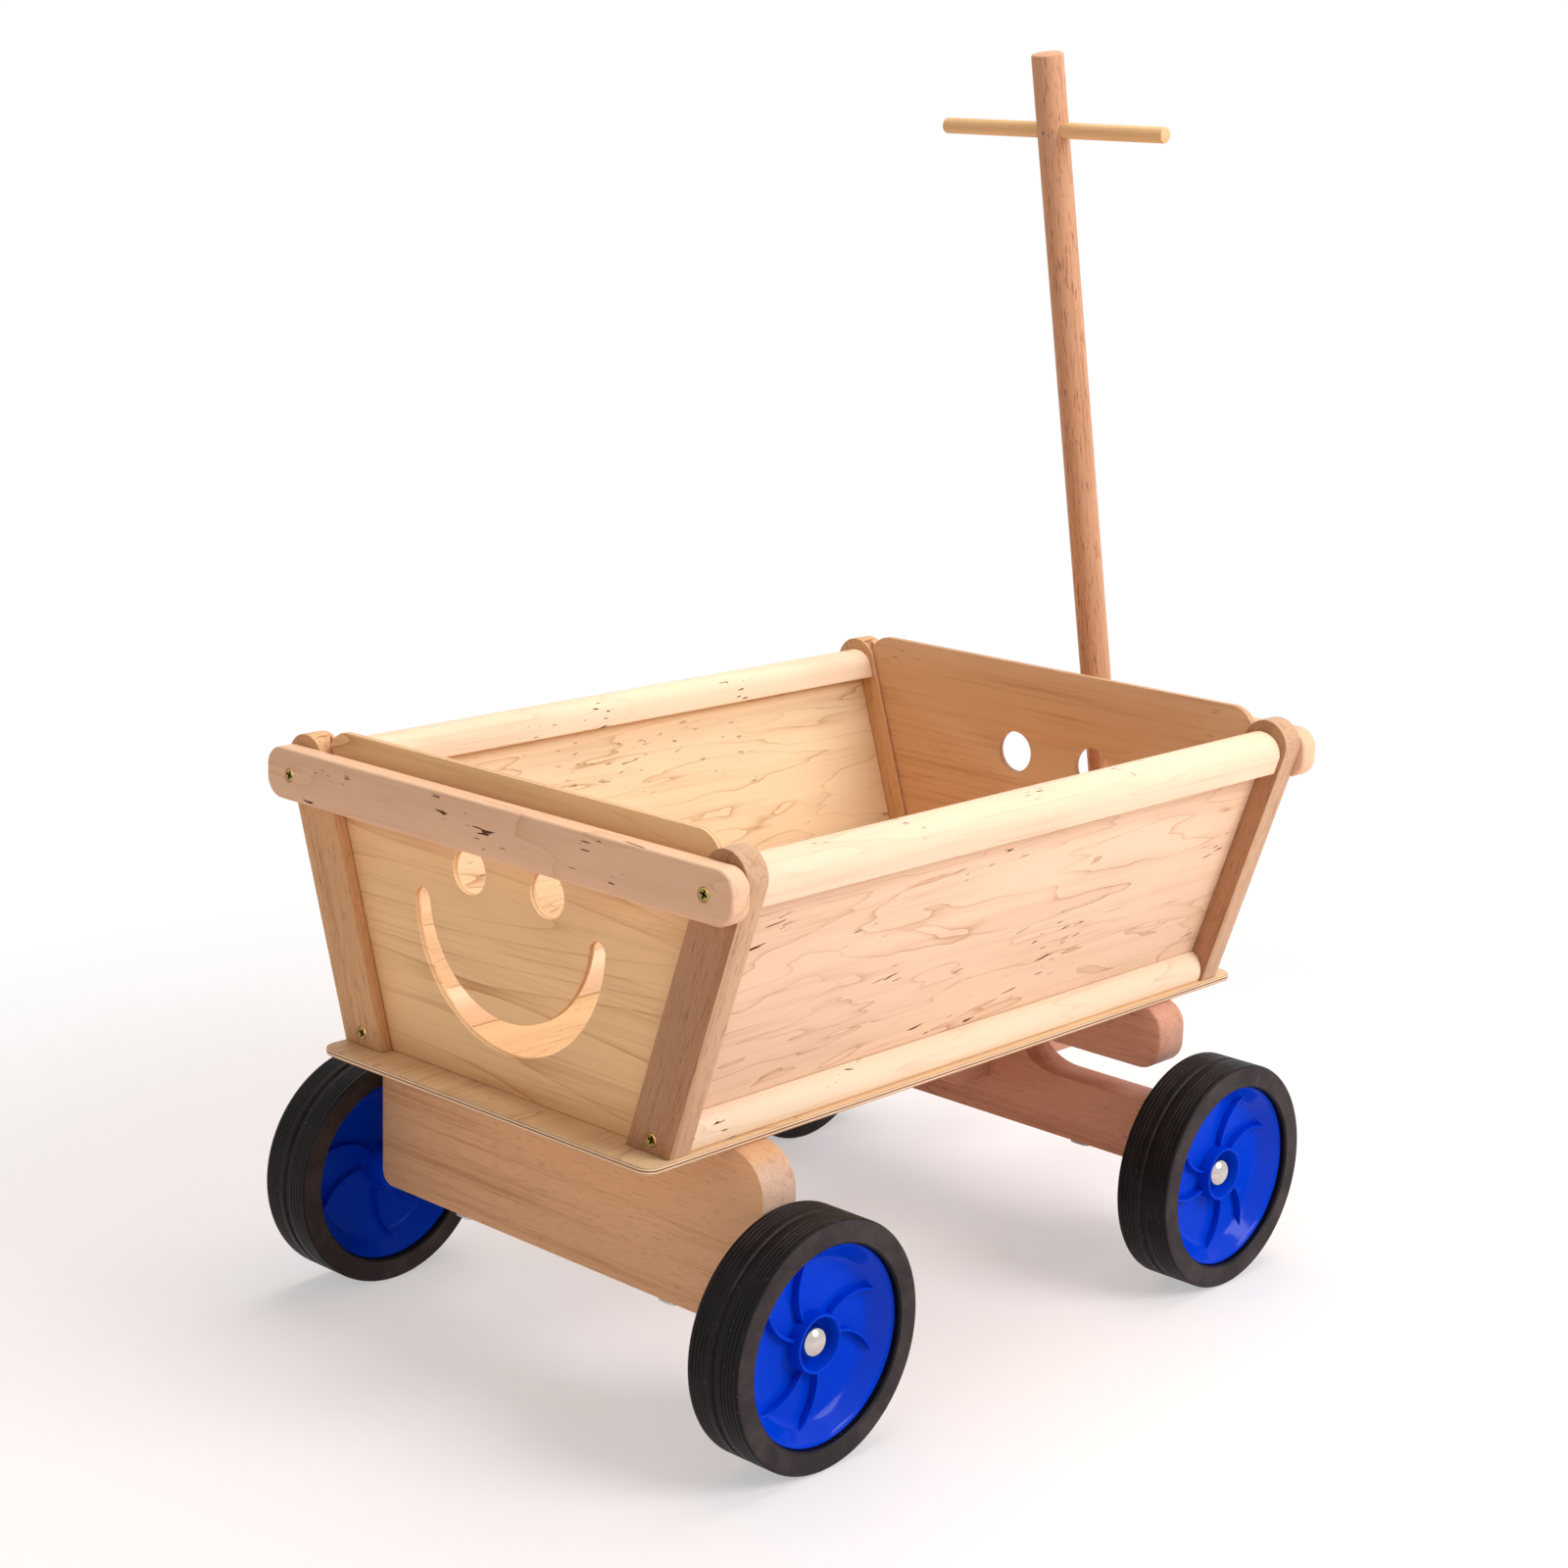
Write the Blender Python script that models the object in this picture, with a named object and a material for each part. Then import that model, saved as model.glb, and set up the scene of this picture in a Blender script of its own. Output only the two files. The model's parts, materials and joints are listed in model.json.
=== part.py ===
"""Wooden hand cart: a splayed plywood box on four wheels with a swivelling front axle.

Metres, +Z up, +X forward to the drawbar, +Y to the cart's left. The cart is laid out from
the rear axle, and one empty then moves it so that the origin lies on the ground under the
middle of the whole length.
"""
import math

import bmesh
import bpy
from mathutils import Matrix, Vector

# Clearances
FIT = 0.0003            # between pieces that are glued, screwed or pressed together
RUN_FIT = 0.0004        # round a pin that something turns on
OVERCUT = 0.004         # how far a cutter reaches past the piece that it cuts
WELD = 0.000002         # merge distance for points of one mesh

# Wheels and axles
TYRE_RADIUS = 0.100
TYRE_WIDTH = 0.052
TYRE_BORE_RADIUS = 0.080
TYRE_SHOULDER = 0.003
TREAD_GROOVES = 1
TREAD_GROOVE_WIDTH = 0.0045
TREAD_GROOVE_DEPTH = 0.002
WHEEL_STEPS = 28
WHEELBASE = 0.520
WIDTH_OVER_TYRES = 0.553
AXLE_DIAMETER = 0.012

# Moulded wheel centre, with depths counted outwards from the wheel's middle plane
RIM_LIP = 0.002
RIM_HALF_WIDTH = 0.0205
DISH_RADIUS = 0.058
WEB_OUTER = 0.004
WEB_INNER = -0.003
HUB_RING_RADIUS = 0.0235
HUB_RING_WALL = 0.003
HUB_RING_HEIGHT = 0.0165
HUB_SEAT = 0.0055
HUB_TUBE_RADIUS = 0.018
RIB_COUNT = 7
RIB_THICKNESS = 0.0028
RIB_OUTER_TOP = 0.011
RIB_INNER_TOP = -0.010
RIB_END_RADIUS = 0.0735
RIB_START = math.radians(30)
RIB_SWEEP = math.radians(-32)
RIB_BEND = 1.5
RIB_PIECES = 4

# Dome caps on the axle ends
CAP_RADIUS = 0.012
CAP_HEIGHT = 0.0105
CAP_RIM = 0.0015
CAP_SOCKET = 0.005

# Floor plate
FLOOR_WIDTH = 0.380
FLOOR_THICKNESS = 0.0065
FLOOR_UNDERSIDE = 0.237
FLOOR_CORNER = 0.012
FLOOR_REAR_OVERHANG = 0.108     # past the rear axle
FLOOR_FRONT_OVERHANG = 0.108    # past the front axle

# Corner posts, which lean outwards with the sides
LEAN = math.radians(18)
POST_WIDTH = 0.044
POST_THICKNESS = 0.022
POST_FOOT_Y = 0.164
POST_TOP = 0.490
POST_INSET = 0.024

# Sides: a plywood panel between a foot rail and a round-topped top rail
PANEL_THICKNESS = 0.0065
PANEL_GROOVE = 0.008    # depth of the posts' grooves
RAIL_GROOVE = 0.005     # depth of the rails' grooves, clear of the screws in the rails' ends
TOP_RAIL_WIDTH = 0.0375
TOP_RAIL_HEIGHT = 0.030
TOP_RAIL_CROWN = 0.017
TOP_RAIL_DROP = 0.0105
FOOT_RAIL_WIDTH = 0.039
FOOT_RAIL_HEIGHT = 0.029
FOOT_RAIL_ROUND = 0.012

# Ends: a plywood panel with a smile cut through it, and a rail across the posts
END_PANEL_RECESS = 0.0115
END_PANEL_TOP = 0.496
END_PANEL_SHOULDER = 0.024
EYE_DIAMETER = 0.038
EYE_SPACING = 0.089
EYE_HEIGHT = 0.4125
MOUTH_OUTER_RADIUS = 0.109
MOUTH_OUTER_HEIGHT = 0.3833
MOUTH_INNER_RADIUS = 0.0923
MOUTH_INNER_HEIGHT = 0.3927
MOUTH_TIP_HEIGHT = 0.379
FACE_SHIFT = 0.005      # of the cut-outs, to the left seen from the box
END_RAIL_OVERHANG = 0.0057      # past the posts' outer faces
END_RAIL_HEIGHT = 0.0425
END_RAIL_THICKNESS = 0.019
END_RAIL_DROP = 0.0305          # of its middle below the posts' tops
END_RAIL_ROUND = 0.017

# Countersunk wood screws
SCREW_HEAD_RADIUS = 0.0040
SCREW_SHANK_RADIUS = 0.0020
SCREW_HEAD_DEPTH = 0.0024
RAIL_SCREW_LENGTH = 0.050
FOOT_SCREW_LENGTH = 0.040
FOOT_SCREW_HEIGHT = 0.0105

# Axle beams, bolster and turning plate
BEAM_THICKNESS = 0.036
BEAM_WHEEL_GAP = 0.0035     # from a beam's end to the tyre
BEAM_FOOT_ROUND = 0.012
REAR_BEAM_SHOULDER = 0.034
BOLSTER_LENGTH = 0.406
BOLSTER_HEIGHT = 0.057
BOLSTER_ROUND = 0.022
TURN_PLATE_RADIUS = 0.030
TURN_PLATE_THICKNESS = 0.002
STEER_BOSS_HALF = 0.050
STEER_HOLLOW = 0.042    # reach of the hollow beside the boss
STEER_ARM_TOP = 0.1495
STEER_ARM_ROUND = 0.010
STRAP_WIDTH = 0.020
STRAP_THICKNESS = 0.002
STRAP_Y = 0.120

# Kingpin
KINGPIN_RADIUS = 0.005
KINGPIN_HEAD_RADIUS = 0.010
KINGPIN_HEAD = 0.005
KINGPIN_WASHER_RADIUS = 0.013
KINGPIN_WASHER = 0.0015
KINGPIN_NUT_RADIUS = 0.009
KINGPIN_NUT = 0.008

# Drawbar, with its tongue through the steering beam and a strap fork
PIVOT_AHEAD = 0.202     # of the front axle
PIVOT_Z = 0.148
DRAWBAR_LEAN = math.radians(11.85)
DRAWBAR_RADIUS = 0.014
OVERALL_HEIGHT = 1.045  # to the top of the upright drawbar
DRAWBAR_CHAMFER = 0.002
CROSSBAR_RADIUS = 0.007
CROSSBAR_LENGTH = 0.241
CROSSBAR_CHAMFER = 0.0015
CROSSBAR_DROP = 0.066   # from the drawbar's top
TONGUE_WIDTH = 0.030
TONGUE_HEIGHT = 0.038
TONGUE_TAIL = 0.044
CHEEK_THICKNESS = 0.003
CHEEK_HEIGHT = 0.030
CHEEK_REACH = 0.095
RIVET_RADIUS = 0.003
RIVET_HEAD_RADIUS = 0.006
RIVET_HEAD = 0.0022
RIVET_SPACING = 0.040
RIVET_FROM_END = 0.018
PIVOT_BOLT_RADIUS = 0.004
PIVOT_HEAD_RADIUS = 0.0075
PIVOT_HEAD = 0.005
PIVOT_NUT = 0.0065

# Facets
ROUND_STEPS = 16
SMALL_STEPS = 12
CORNER_STEPS = 3
TOP_STEPS = 8
HOLE_STEPS = 18
MOUTH_STEPS = 14
SMOOTH_ANGLE = math.radians(35)

# Places that follow from the sizes above
PIVOT_X = WHEELBASE + PIVOT_AHEAD
AXLE_Z = TYRE_RADIUS * math.cos(math.pi / WHEEL_STEPS)
WHEEL_Y = (WIDTH_OVER_TYRES - TYRE_WIDTH) / 2
BEAM_LENGTH = WIDTH_OVER_TYRES - 2 * TYRE_WIDTH - 2 * BEAM_WHEEL_GAP
BEAM_BOTTOM = AXLE_Z - AXLE_DIAMETER / 2
HUB_TUBE_END = -(WHEEL_Y - BEAM_LENGTH / 2 - FIT)
AXLE_HALF = WHEEL_Y + HUB_SEAT + FIT + CAP_SOCKET - FIT
FLOOR_TOP = FLOOR_UNDERSIDE + FLOOR_THICKNESS
FLOOR_REAR = -FLOOR_REAR_OVERHANG
FLOOR_FRONT = WHEELBASE + FLOOR_FRONT_OVERHANG
END_REAR = FLOOR_REAR + POST_INSET
END_FRONT = FLOOR_FRONT - POST_INSET
SIDE_REAR = END_REAR + POST_THICKNESS
SIDE_FRONT = END_FRONT - POST_THICKNESS
POST_ROUND_ALONG = (POST_TOP - POST_WIDTH / 2 - FLOOR_TOP) / math.cos(LEAN)
TOP_RAIL_TOP = POST_ROUND_ALONG + POST_WIDTH / 2 - TOP_RAIL_DROP
TOP_RAIL_FOOT = TOP_RAIL_TOP - TOP_RAIL_HEIGHT
END_RAIL_MIDDLE = POST_TOP - END_RAIL_DROP
END_RAIL_HALF = (POST_FOOT_Y + POST_WIDTH / 2 / math.cos(LEAN)
                 + (END_RAIL_MIDDLE - FLOOR_TOP) * math.tan(LEAN) + END_RAIL_OVERHANG)
BOLSTER_BOTTOM = FLOOR_UNDERSIDE - FIT - BOLSTER_HEIGHT
STEER_BOSS_TOP = BOLSTER_BOTTOM - TURN_PLATE_THICKNESS - 2 * FIT
KINGPIN_HEAD_FOOT = AXLE_Z + AXLE_DIAMETER / 2 + FIT
DRAWBAR_LENGTH = ((OVERALL_HEIGHT - PIVOT_Z - (DRAWBAR_RADIUS - DRAWBAR_CHAMFER) * math.sin(DRAWBAR_LEAN))
                  / math.cos(DRAWBAR_LEAN))
CROSSBAR_ALONG = DRAWBAR_LENGTH - CROSSBAR_DROP
TONGUE_FOOT = PIVOT_Z - TONGUE_HEIGHT / 2
TONGUE_TOP = PIVOT_Z + TONGUE_HEIGHT / 2
STOP_RISE = TONGUE_HEIGHT / 2
TONGUE_FRONT = (PIVOT_X - STOP_RISE * math.tan(DRAWBAR_LEAN)
                - DRAWBAR_RADIUS / math.cos(DRAWBAR_LEAN) - FIT)
CHEEK_INNER = TONGUE_WIDTH / 2 + FIT
CHEEK_OUTER = CHEEK_INNER + CHEEK_THICKNESS
CHEEK_FRONT = PIVOT_X + CHEEK_HEIGHT / 2
MIDDLE_X = (FLOOR_REAR + CHEEK_FRONT) / 2


def finish(name, colour, roughness, metallic=0.0):
    """One plain surface finish."""
    material = bpy.data.materials.new(name)
    material.use_nodes = True
    shader = material.node_tree.nodes["Principled BSDF"]
    shader.inputs["Base Color"].default_value = (*colour, 1.0)
    shader.inputs["Roughness"].default_value = roughness
    shader.inputs["Metallic"].default_value = metallic
    return material


def make_finishes():
    """The finishes that the pieces share, by name."""
    return {
        "birch": finish("birch_plywood", (0.80, 0.60, 0.40), 0.45),
        "pale": finish("pale_birch", (0.87, 0.72, 0.52), 0.45),
        "beech": finish("beech", (0.62, 0.40, 0.26), 0.50),
        "rubber": finish("black_rubber", (0.020, 0.018, 0.018), 0.70),
        "blue": finish("blue_plastic", (0.0, 0.045, 0.72), 0.28),
        "chrome": finish("chrome", (0.82, 0.82, 0.82), 0.10, 1.0),
        "brass": finish("yellow_zinc", (0.72, 0.52, 0.16), 0.30, 1.0),
        "steel": finish("zinc_steel", (0.55, 0.55, 0.56), 0.38, 1.0),
    }


def empty(name, location, parent=None, turn=0.0, tilt=0.0):
    """An empty to hang pieces on, turned about Z and then tilted about its own Y."""
    holder = bpy.data.objects.new(name, None)
    bpy.context.scene.collection.objects.link(holder)
    holder.parent = parent
    holder.location = location
    holder.rotation_euler = (0.0, tilt, turn)
    return holder


def piece(name, shape, material, parent, location=(0.0, 0.0, 0.0)):
    """A named object made from a finished shape."""
    bmesh.ops.remove_doubles(shape, verts=shape.verts, dist=WELD)
    bmesh.ops.recalc_face_normals(shape, faces=shape.faces)
    mesh = bpy.data.meshes.new(name)
    shape.to_mesh(mesh)
    shape.free()
    mesh.materials.append(material)
    mesh.shade_smooth()
    mesh.set_sharp_from_angle(angle=SMOOTH_ANGLE)
    return place(name, mesh, parent, location)


def place(name, mesh, parent, location=(0.0, 0.0, 0.0)):
    """Another object with the same mesh."""
    thing = bpy.data.objects.new(name, mesh)
    bpy.context.scene.collection.objects.link(thing)
    thing.parent = parent
    thing.location = location
    return thing


def combine(thing, shape, operation="DIFFERENCE", holder=None):
    """Cut a shape out of a piece, or join it on, with a hidden tool object.

    The shape is in the piece's own coordinates, or in those of the empty that holds it.
    """
    bmesh.ops.remove_doubles(shape, verts=shape.verts, dist=WELD)
    bmesh.ops.recalc_face_normals(shape, faces=shape.faces)
    mesh = bpy.data.meshes.new(thing.name + "_tool")
    shape.to_mesh(mesh)
    shape.free()
    tool = place(mesh.name, mesh, holder or thing.parent)
    if not holder:
        tool.location = thing.location
    tool.hide_render = True
    tool.display_type = "WIRE"
    modifier = thing.modifiers.new(tool.name, "BOOLEAN")
    modifier.object = tool
    modifier.operation = operation
    modifier.solver = "EXACT"


def arc(centre, radius, start, stop, steps):
    """Points along an arc, in degrees, both ends included."""
    points = []
    for step in range(steps + 1):
        angle = math.radians(start + (stop - start) * step / steps)
        points.append((centre[0] + radius * math.cos(angle), centre[1] + radius * math.sin(angle)))
    return points


def rounded_box(low, high, radii, steps=CORNER_STEPS):
    """A rectangle with its corners rounded: lower left, lower right, upper right, upper left."""
    corners = [(low[0], low[1], 1, 1, 180), (high[0], low[1], -1, 1, 270),
               (high[0], high[1], -1, -1, 0), (low[0], high[1], 1, -1, 90)]
    outline = []
    for (across, up, inward, upward, start), radius in zip(corners, radii):
        if radius:
            centre = (across + inward * radius, up + upward * radius)
            outline += arc(centre, radius, start, start + 90, steps)
        else:
            outline.append((across, up))
    return outline


def prism(outline, near, far, axis="X", shape=None):
    """An outline extruded along an axis: (y, z) along X, (x, z) along Y or (x, y) along Z."""
    shape = shape or bmesh.new()
    spot = {"X": lambda p, d: (d, p[0], p[1]),
            "Y": lambda p, d: (p[0], d, p[1]),
            "Z": lambda p, d: (p[0], p[1], d)}[axis]
    corners = [shape.verts.new(spot(point, near)) for point in outline]
    face = shape.faces.new(corners)
    grown = bmesh.ops.extrude_face_region(shape, geom=[face])
    moved = [item for item in grown["geom"] if isinstance(item, bmesh.types.BMVert)]
    travel = Vector(spot((0.0, 0.0), far - near))
    bmesh.ops.translate(shape, verts=moved, vec=travel)
    return shape


def lathe(profile, steps, axis="Z", shape=None, phase=0.0):
    """A closed profile of (radius, along) turned about an axis through the origin."""
    turned = bmesh.new()
    points = [turned.verts.new((radius, 0.0, along)) for radius, along in profile]
    for first, second in zip(points, points[1:] + points[:1]):
        if first.co.x > 0.0 or second.co.x > 0.0:
            turned.edges.new((first, second))
    bmesh.ops.spin(turned, geom=turned.verts[:] + turned.edges[:], cent=(0, 0, 0), axis=(0, 0, 1),
                   angle=2 * math.pi, steps=steps, use_merge=True)
    bmesh.ops.remove_doubles(turned, verts=turned.verts, dist=WELD)
    direction = {"X": Vector((1, 0, 0)), "Y": Vector((0, 1, 0)),
                 "-Y": Vector((0, -1, 0)), "Z": Vector((0, 0, 1))}[axis]
    swing = direction.to_track_quat("Z", "Y").to_matrix()
    turn = swing @ Matrix.Rotation(phase, 3, "Z")
    bmesh.ops.rotate(turned, verts=turned.verts, cent=(0, 0, 0), matrix=turn)
    if shape is None:
        return turned
    return joined(shape, turned)


def joined(shape, other):
    """Put another shape's faces into the first shape."""
    mesh = bpy.data.meshes.new("shape")
    other.to_mesh(mesh)
    other.free()
    shape.from_mesh(mesh)
    bpy.data.meshes.remove(mesh)
    return shape


def moved(shape, offset):
    """Shift a whole shape."""
    bmesh.ops.translate(shape, verts=shape.verts, vec=Vector(offset))
    return shape


def rod_profile(radius, low, high, chamfer=0.0):
    """Half section of a round bar along its own axis."""
    if not chamfer:
        return [(0.0, low), (radius, low), (radius, high), (0.0, high)]
    return [(0.0, low), (radius - chamfer, low), (radius, low + chamfer),
            (radius, high - chamfer), (radius - chamfer, high), (0.0, high)]


def tube_profile(inner, outer, low, high):
    """Half section of a washer, nut or sleeve."""
    return [(inner, low), (outer, low), (outer, high), (inner, high)]


def leaning(across, along, side=1):
    """A point of a side: across its thickness outwards, and along the lean upwards."""
    y = POST_FOOT_Y + along * math.sin(LEAN) + across * math.cos(LEAN)
    z = FLOOR_TOP + along * math.cos(LEAN) - across * math.sin(LEAN)
    return (side * y, z)


def on_floor(across, lift=FIT):
    """How far along the lean a point lies that stands just above the floor plate."""
    return (lift + across * math.sin(LEAN)) / math.cos(LEAN)


def floor_plate(cart, finishes):
    half = FLOOR_WIDTH / 2
    outline = rounded_box((FLOOR_REAR, -half), (FLOOR_FRONT, half), [FLOOR_CORNER] * 4)
    plate = piece("floor_plate", prism(outline, FLOOR_UNDERSIDE, FLOOR_TOP, "Z"),
                  finishes["birch"], cart)
    combine(plate, kingpin_hole(FLOOR_UNDERSIDE, FLOOR_TOP))


def kingpin_hole(low, high):
    """A cutter for the kingpin's bore between two heights."""
    profile = rod_profile(KINGPIN_RADIUS + RUN_FIT, low - OVERCUT, high + OVERCUT)
    return moved(lathe(profile, SMALL_STEPS), (WHEELBASE, 0.0, 0.0))


def side_pieces(cart, finishes, side, name):
    """A panel with its foot rail and its top rail, on one side of the cart."""
    ends = (SIDE_REAR + FIT, SIDE_FRONT - FIT)
    slot = PANEL_THICKNESS / 2 + FIT
    half = FOOT_RAIL_WIDTH / 2
    corner = FOOT_RAIL_ROUND
    top = FOOT_RAIL_HEIGHT
    foot_section = [(-half, on_floor(-half)), (half, on_floor(half))]
    foot_section += arc((half - corner, top - corner), corner, 0, 90, CORNER_STEPS)
    foot_section += [(slot, top), (slot, top - RAIL_GROOVE),
                     (-slot, top - RAIL_GROOVE), (-slot, top)]
    foot_section += arc((corner - half, top - corner), corner, 90, 180, CORNER_STEPS)
    outline = [leaning(across, along, side) for across, along in foot_section]
    foot_rail = piece("side_foot_rail_" + name, prism(outline, *ends), finishes["pale"], cart)

    thin = PANEL_THICKNESS / 2
    low = top - RAIL_GROOVE + FIT
    high = TOP_RAIL_FOOT + RAIL_GROOVE - FIT
    outline = [leaning(*point, side) for point in
               [(-thin, low), (thin, low), (thin, high), (-thin, high)]]
    piece("side_panel_" + name, prism(outline, *ends), finishes["birch"], cart)

    half = TOP_RAIL_WIDTH / 2
    foot = TOP_RAIL_FOOT
    rail_section = [(-half, foot), (-slot, foot), (-slot, foot + RAIL_GROOVE),
                    (slot, foot + RAIL_GROOVE), (slot, foot), (half, foot)]
    crown = arc((0.0, 0.0), 1.0, 0, 180, TOP_STEPS + 2)
    rail_section += [(half * x, TOP_RAIL_TOP + TOP_RAIL_CROWN * (y - 1)) for x, y in crown]
    outline = [leaning(across, along, side) for across, along in rail_section]
    top_rail = piece("side_top_rail_" + name, prism(outline, *ends), finishes["pale"], cart)
    return foot_rail, top_rail


def screw_line(along):
    """Where a screw through the posts' middle lies, at a distance along the lean."""
    return leaning(0.0, along)


def screw_shape(length, grow=0.0):
    """A countersunk screw along +X, its head's flat face at X = 0, or a hole for it."""
    head = SCREW_HEAD_RADIUS + grow
    shank = SCREW_SHANK_RADIUS + grow
    front = -OVERCUT if grow else FIT
    profile = [(0.0, front), (head, front), (head, FIT), (shank, SCREW_HEAD_DEPTH),
               (shank, length + grow), (0.0, length + grow)]
    if not grow:
        profile.pop(2)
    return lathe(profile, SMALL_STEPS, "X")


def end_pieces(holder, finishes, end, sides, side_rails):
    """One end of the box, with X = 0 on the posts' outer faces and +X into the box.

    sides names the pieces at +Y and at -Y of this end, and side_rails holds the foot rail
    and the top rail of each side, which the screws run into.
    """
    face = -END_RAIL_THICKNESS - FIT
    rail_screw = screw_line((END_RAIL_MIDDLE - FLOOR_TOP) / math.cos(LEAN))
    foot_screw = screw_line(FOOT_SCREW_HEIGHT / math.cos(LEAN))
    end_panel(holder, finishes, end)
    rail = end_rail(holder, finishes, end)
    for side, name in zip((1, -1), sides):
        post = corner_post(holder, finishes, side, end + "_" + name)
        upper = (face, side * rail_screw[0], rail_screw[1])
        lower = (0.0, side * foot_screw[0], foot_screw[1])
        foot_rail, top_rail = side_rails[name]
        for bored in (rail, post, top_rail):
            combine(bored, moved(screw_shape(RAIL_SCREW_LENGTH, FIT), upper), holder=holder)
        for bored in (post, foot_rail):
            combine(bored, moved(screw_shape(FOOT_SCREW_LENGTH, FIT), lower), holder=holder)
        piece(f"rail_screw_{end}_{name}", screw_shape(RAIL_SCREW_LENGTH), finishes["brass"], holder, upper)
        piece(f"foot_screw_{end}_{name}", screw_shape(FOOT_SCREW_LENGTH), finishes["brass"], holder, lower)


def corner_post(holder, finishes, side, name):
    """A leaning post with a round top, grooved for the end panel and the side panel."""
    half = POST_WIDTH / 2
    section = [(-half, on_floor(-half)), (half, on_floor(half))]
    section += arc((0.0, POST_ROUND_ALONG), half, 0, 180, TOP_STEPS)
    outline = [leaning(across, along, side) for across, along in section]
    post = piece("corner_post_" + name, prism(outline, 0.0, POST_THICKNESS), finishes["beech"], holder)
    low = on_floor(-half) - OVERCUT
    high = POST_ROUND_ALONG + half + OVERCUT
    depth = -half + PANEL_GROOVE
    groove = [leaning(*point, side) for point in
              [(-half - OVERCUT, low), (depth, low), (depth, high), (-half - OVERCUT, high)]]
    near = END_PANEL_RECESS - FIT
    combine(post, prism(groove, near, near + PANEL_THICKNESS + 2 * FIT))
    return post


def end_panel(holder, finishes, end):
    """A panel held in the posts' grooves, with two round eyes, and at the rear a crescent mouth."""
    edge = -POST_WIDTH / 2 + PANEL_GROOVE - FIT
    low_y, low_z = leaning(edge, on_floor(edge))
    reach = END_PANEL_SHOULDER / math.tan(math.radians(45) - LEAN / 2)
    corner_y = low_y + (END_PANEL_TOP - low_z) * math.tan(LEAN)
    centre = (corner_y - reach, END_PANEL_TOP - END_PANEL_SHOULDER)
    shoulder = arc(centre, END_PANEL_SHOULDER, -math.degrees(LEAN), 90, TOP_STEPS)
    half = [(low_y, low_z)] + shoulder
    outline = half + [(-y, z) for y, z in reversed(half)]
    near = END_PANEL_RECESS
    far = near + PANEL_THICKNESS
    panel = piece(end + "_end_panel", prism(outline, near, far), finishes["birch"], holder)
    cuts = bmesh.new()
    for side in (1, -1):
        eye = arc((FACE_SHIFT + side * EYE_SPACING / 2, EYE_HEIGHT), EYE_DIAMETER / 2, 0, 360, HOLE_STEPS)[:-1]
        prism(eye, near - OVERCUT, far + OVERCUT, shape=cuts)
    if end == "rear":
        mouth = [(FACE_SHIFT + y, z) for y, z in mouth_outline()]
        prism(mouth, near - OVERCUT, far + OVERCUT, shape=cuts)
    combine(panel, cuts)


def mouth_outline():
    """A crescent between two arcs, with round tips."""
    outer = math.degrees(math.asin((MOUTH_TIP_HEIGHT - MOUTH_OUTER_HEIGHT) / MOUTH_OUTER_RADIUS))
    inner = math.degrees(math.asin((MOUTH_TIP_HEIGHT - MOUTH_INNER_HEIGHT) / MOUTH_INNER_RADIUS))
    lower = arc((0.0, MOUTH_OUTER_HEIGHT), MOUTH_OUTER_RADIUS, -180 - outer, outer, MOUTH_STEPS)
    upper = arc((0.0, MOUTH_INNER_HEIGHT), MOUTH_INNER_RADIUS, inner, -180 - inner, MOUTH_STEPS)
    tip = (lower[-1][0] - upper[0][0]) / 2
    right = arc((upper[0][0] + tip, MOUTH_TIP_HEIGHT), tip, 0, 180, CORNER_STEPS + 1)[1:-1]
    left = [(-y, z) for y, z in reversed(right)]
    return lower + right + upper + left


def end_rail(holder, finishes, end):
    """A board across the posts' outer faces, with round ends."""
    half = END_RAIL_HALF
    low = END_RAIL_MIDDLE - END_RAIL_HEIGHT / 2
    high = END_RAIL_MIDDLE + END_RAIL_HEIGHT / 2
    outline = rounded_box((-half, low), (half, high), [END_RAIL_ROUND] * 4, CORNER_STEPS + 1)
    return piece(end + "_end_rail", prism(outline, -END_RAIL_THICKNESS - FIT, -FIT),
                 finishes["pale"], holder)


def axle_slot(length, middle_x):
    """A cutter for the groove under a beam that the axle lies in."""
    radius = AXLE_DIAMETER / 2 + FIT
    outline = [(middle_x - radius, BEAM_BOTTOM - OVERCUT), (middle_x + radius, BEAM_BOTTOM - OVERCUT)]
    outline += arc((middle_x, AXLE_Z), radius, 0, 180, TOP_STEPS)
    half = length / 2 + OVERCUT
    return prism(outline, -half, half, "Y")


def rear_beam(cart, finishes):
    half = BEAM_LENGTH / 2
    radii = [BEAM_FOOT_ROUND, BEAM_FOOT_ROUND, REAR_BEAM_SHOULDER, REAR_BEAM_SHOULDER]
    outline = rounded_box((-half, BEAM_BOTTOM), (half, FLOOR_UNDERSIDE - FIT), radii, CORNER_STEPS + 1)
    thick = BEAM_THICKNESS / 2
    beam = piece("rear_axle_beam", prism(outline, -thick, thick), finishes["beech"], cart)
    combine(beam, axle_slot(BEAM_LENGTH, 0.0))


def front_bolster(cart, finishes):
    half = BOLSTER_LENGTH / 2
    radii = [BOLSTER_ROUND] * 4
    outline = rounded_box((-half, BOLSTER_BOTTOM), (half, FLOOR_UNDERSIDE - FIT), radii)
    rear = WHEELBASE - BEAM_THICKNESS / 2
    bolster = piece("front_bolster", prism(outline, rear, rear + BEAM_THICKNESS), finishes["beech"], cart)
    combine(bolster, kingpin_hole(BOLSTER_BOTTOM, FLOOR_UNDERSIDE))


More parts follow.
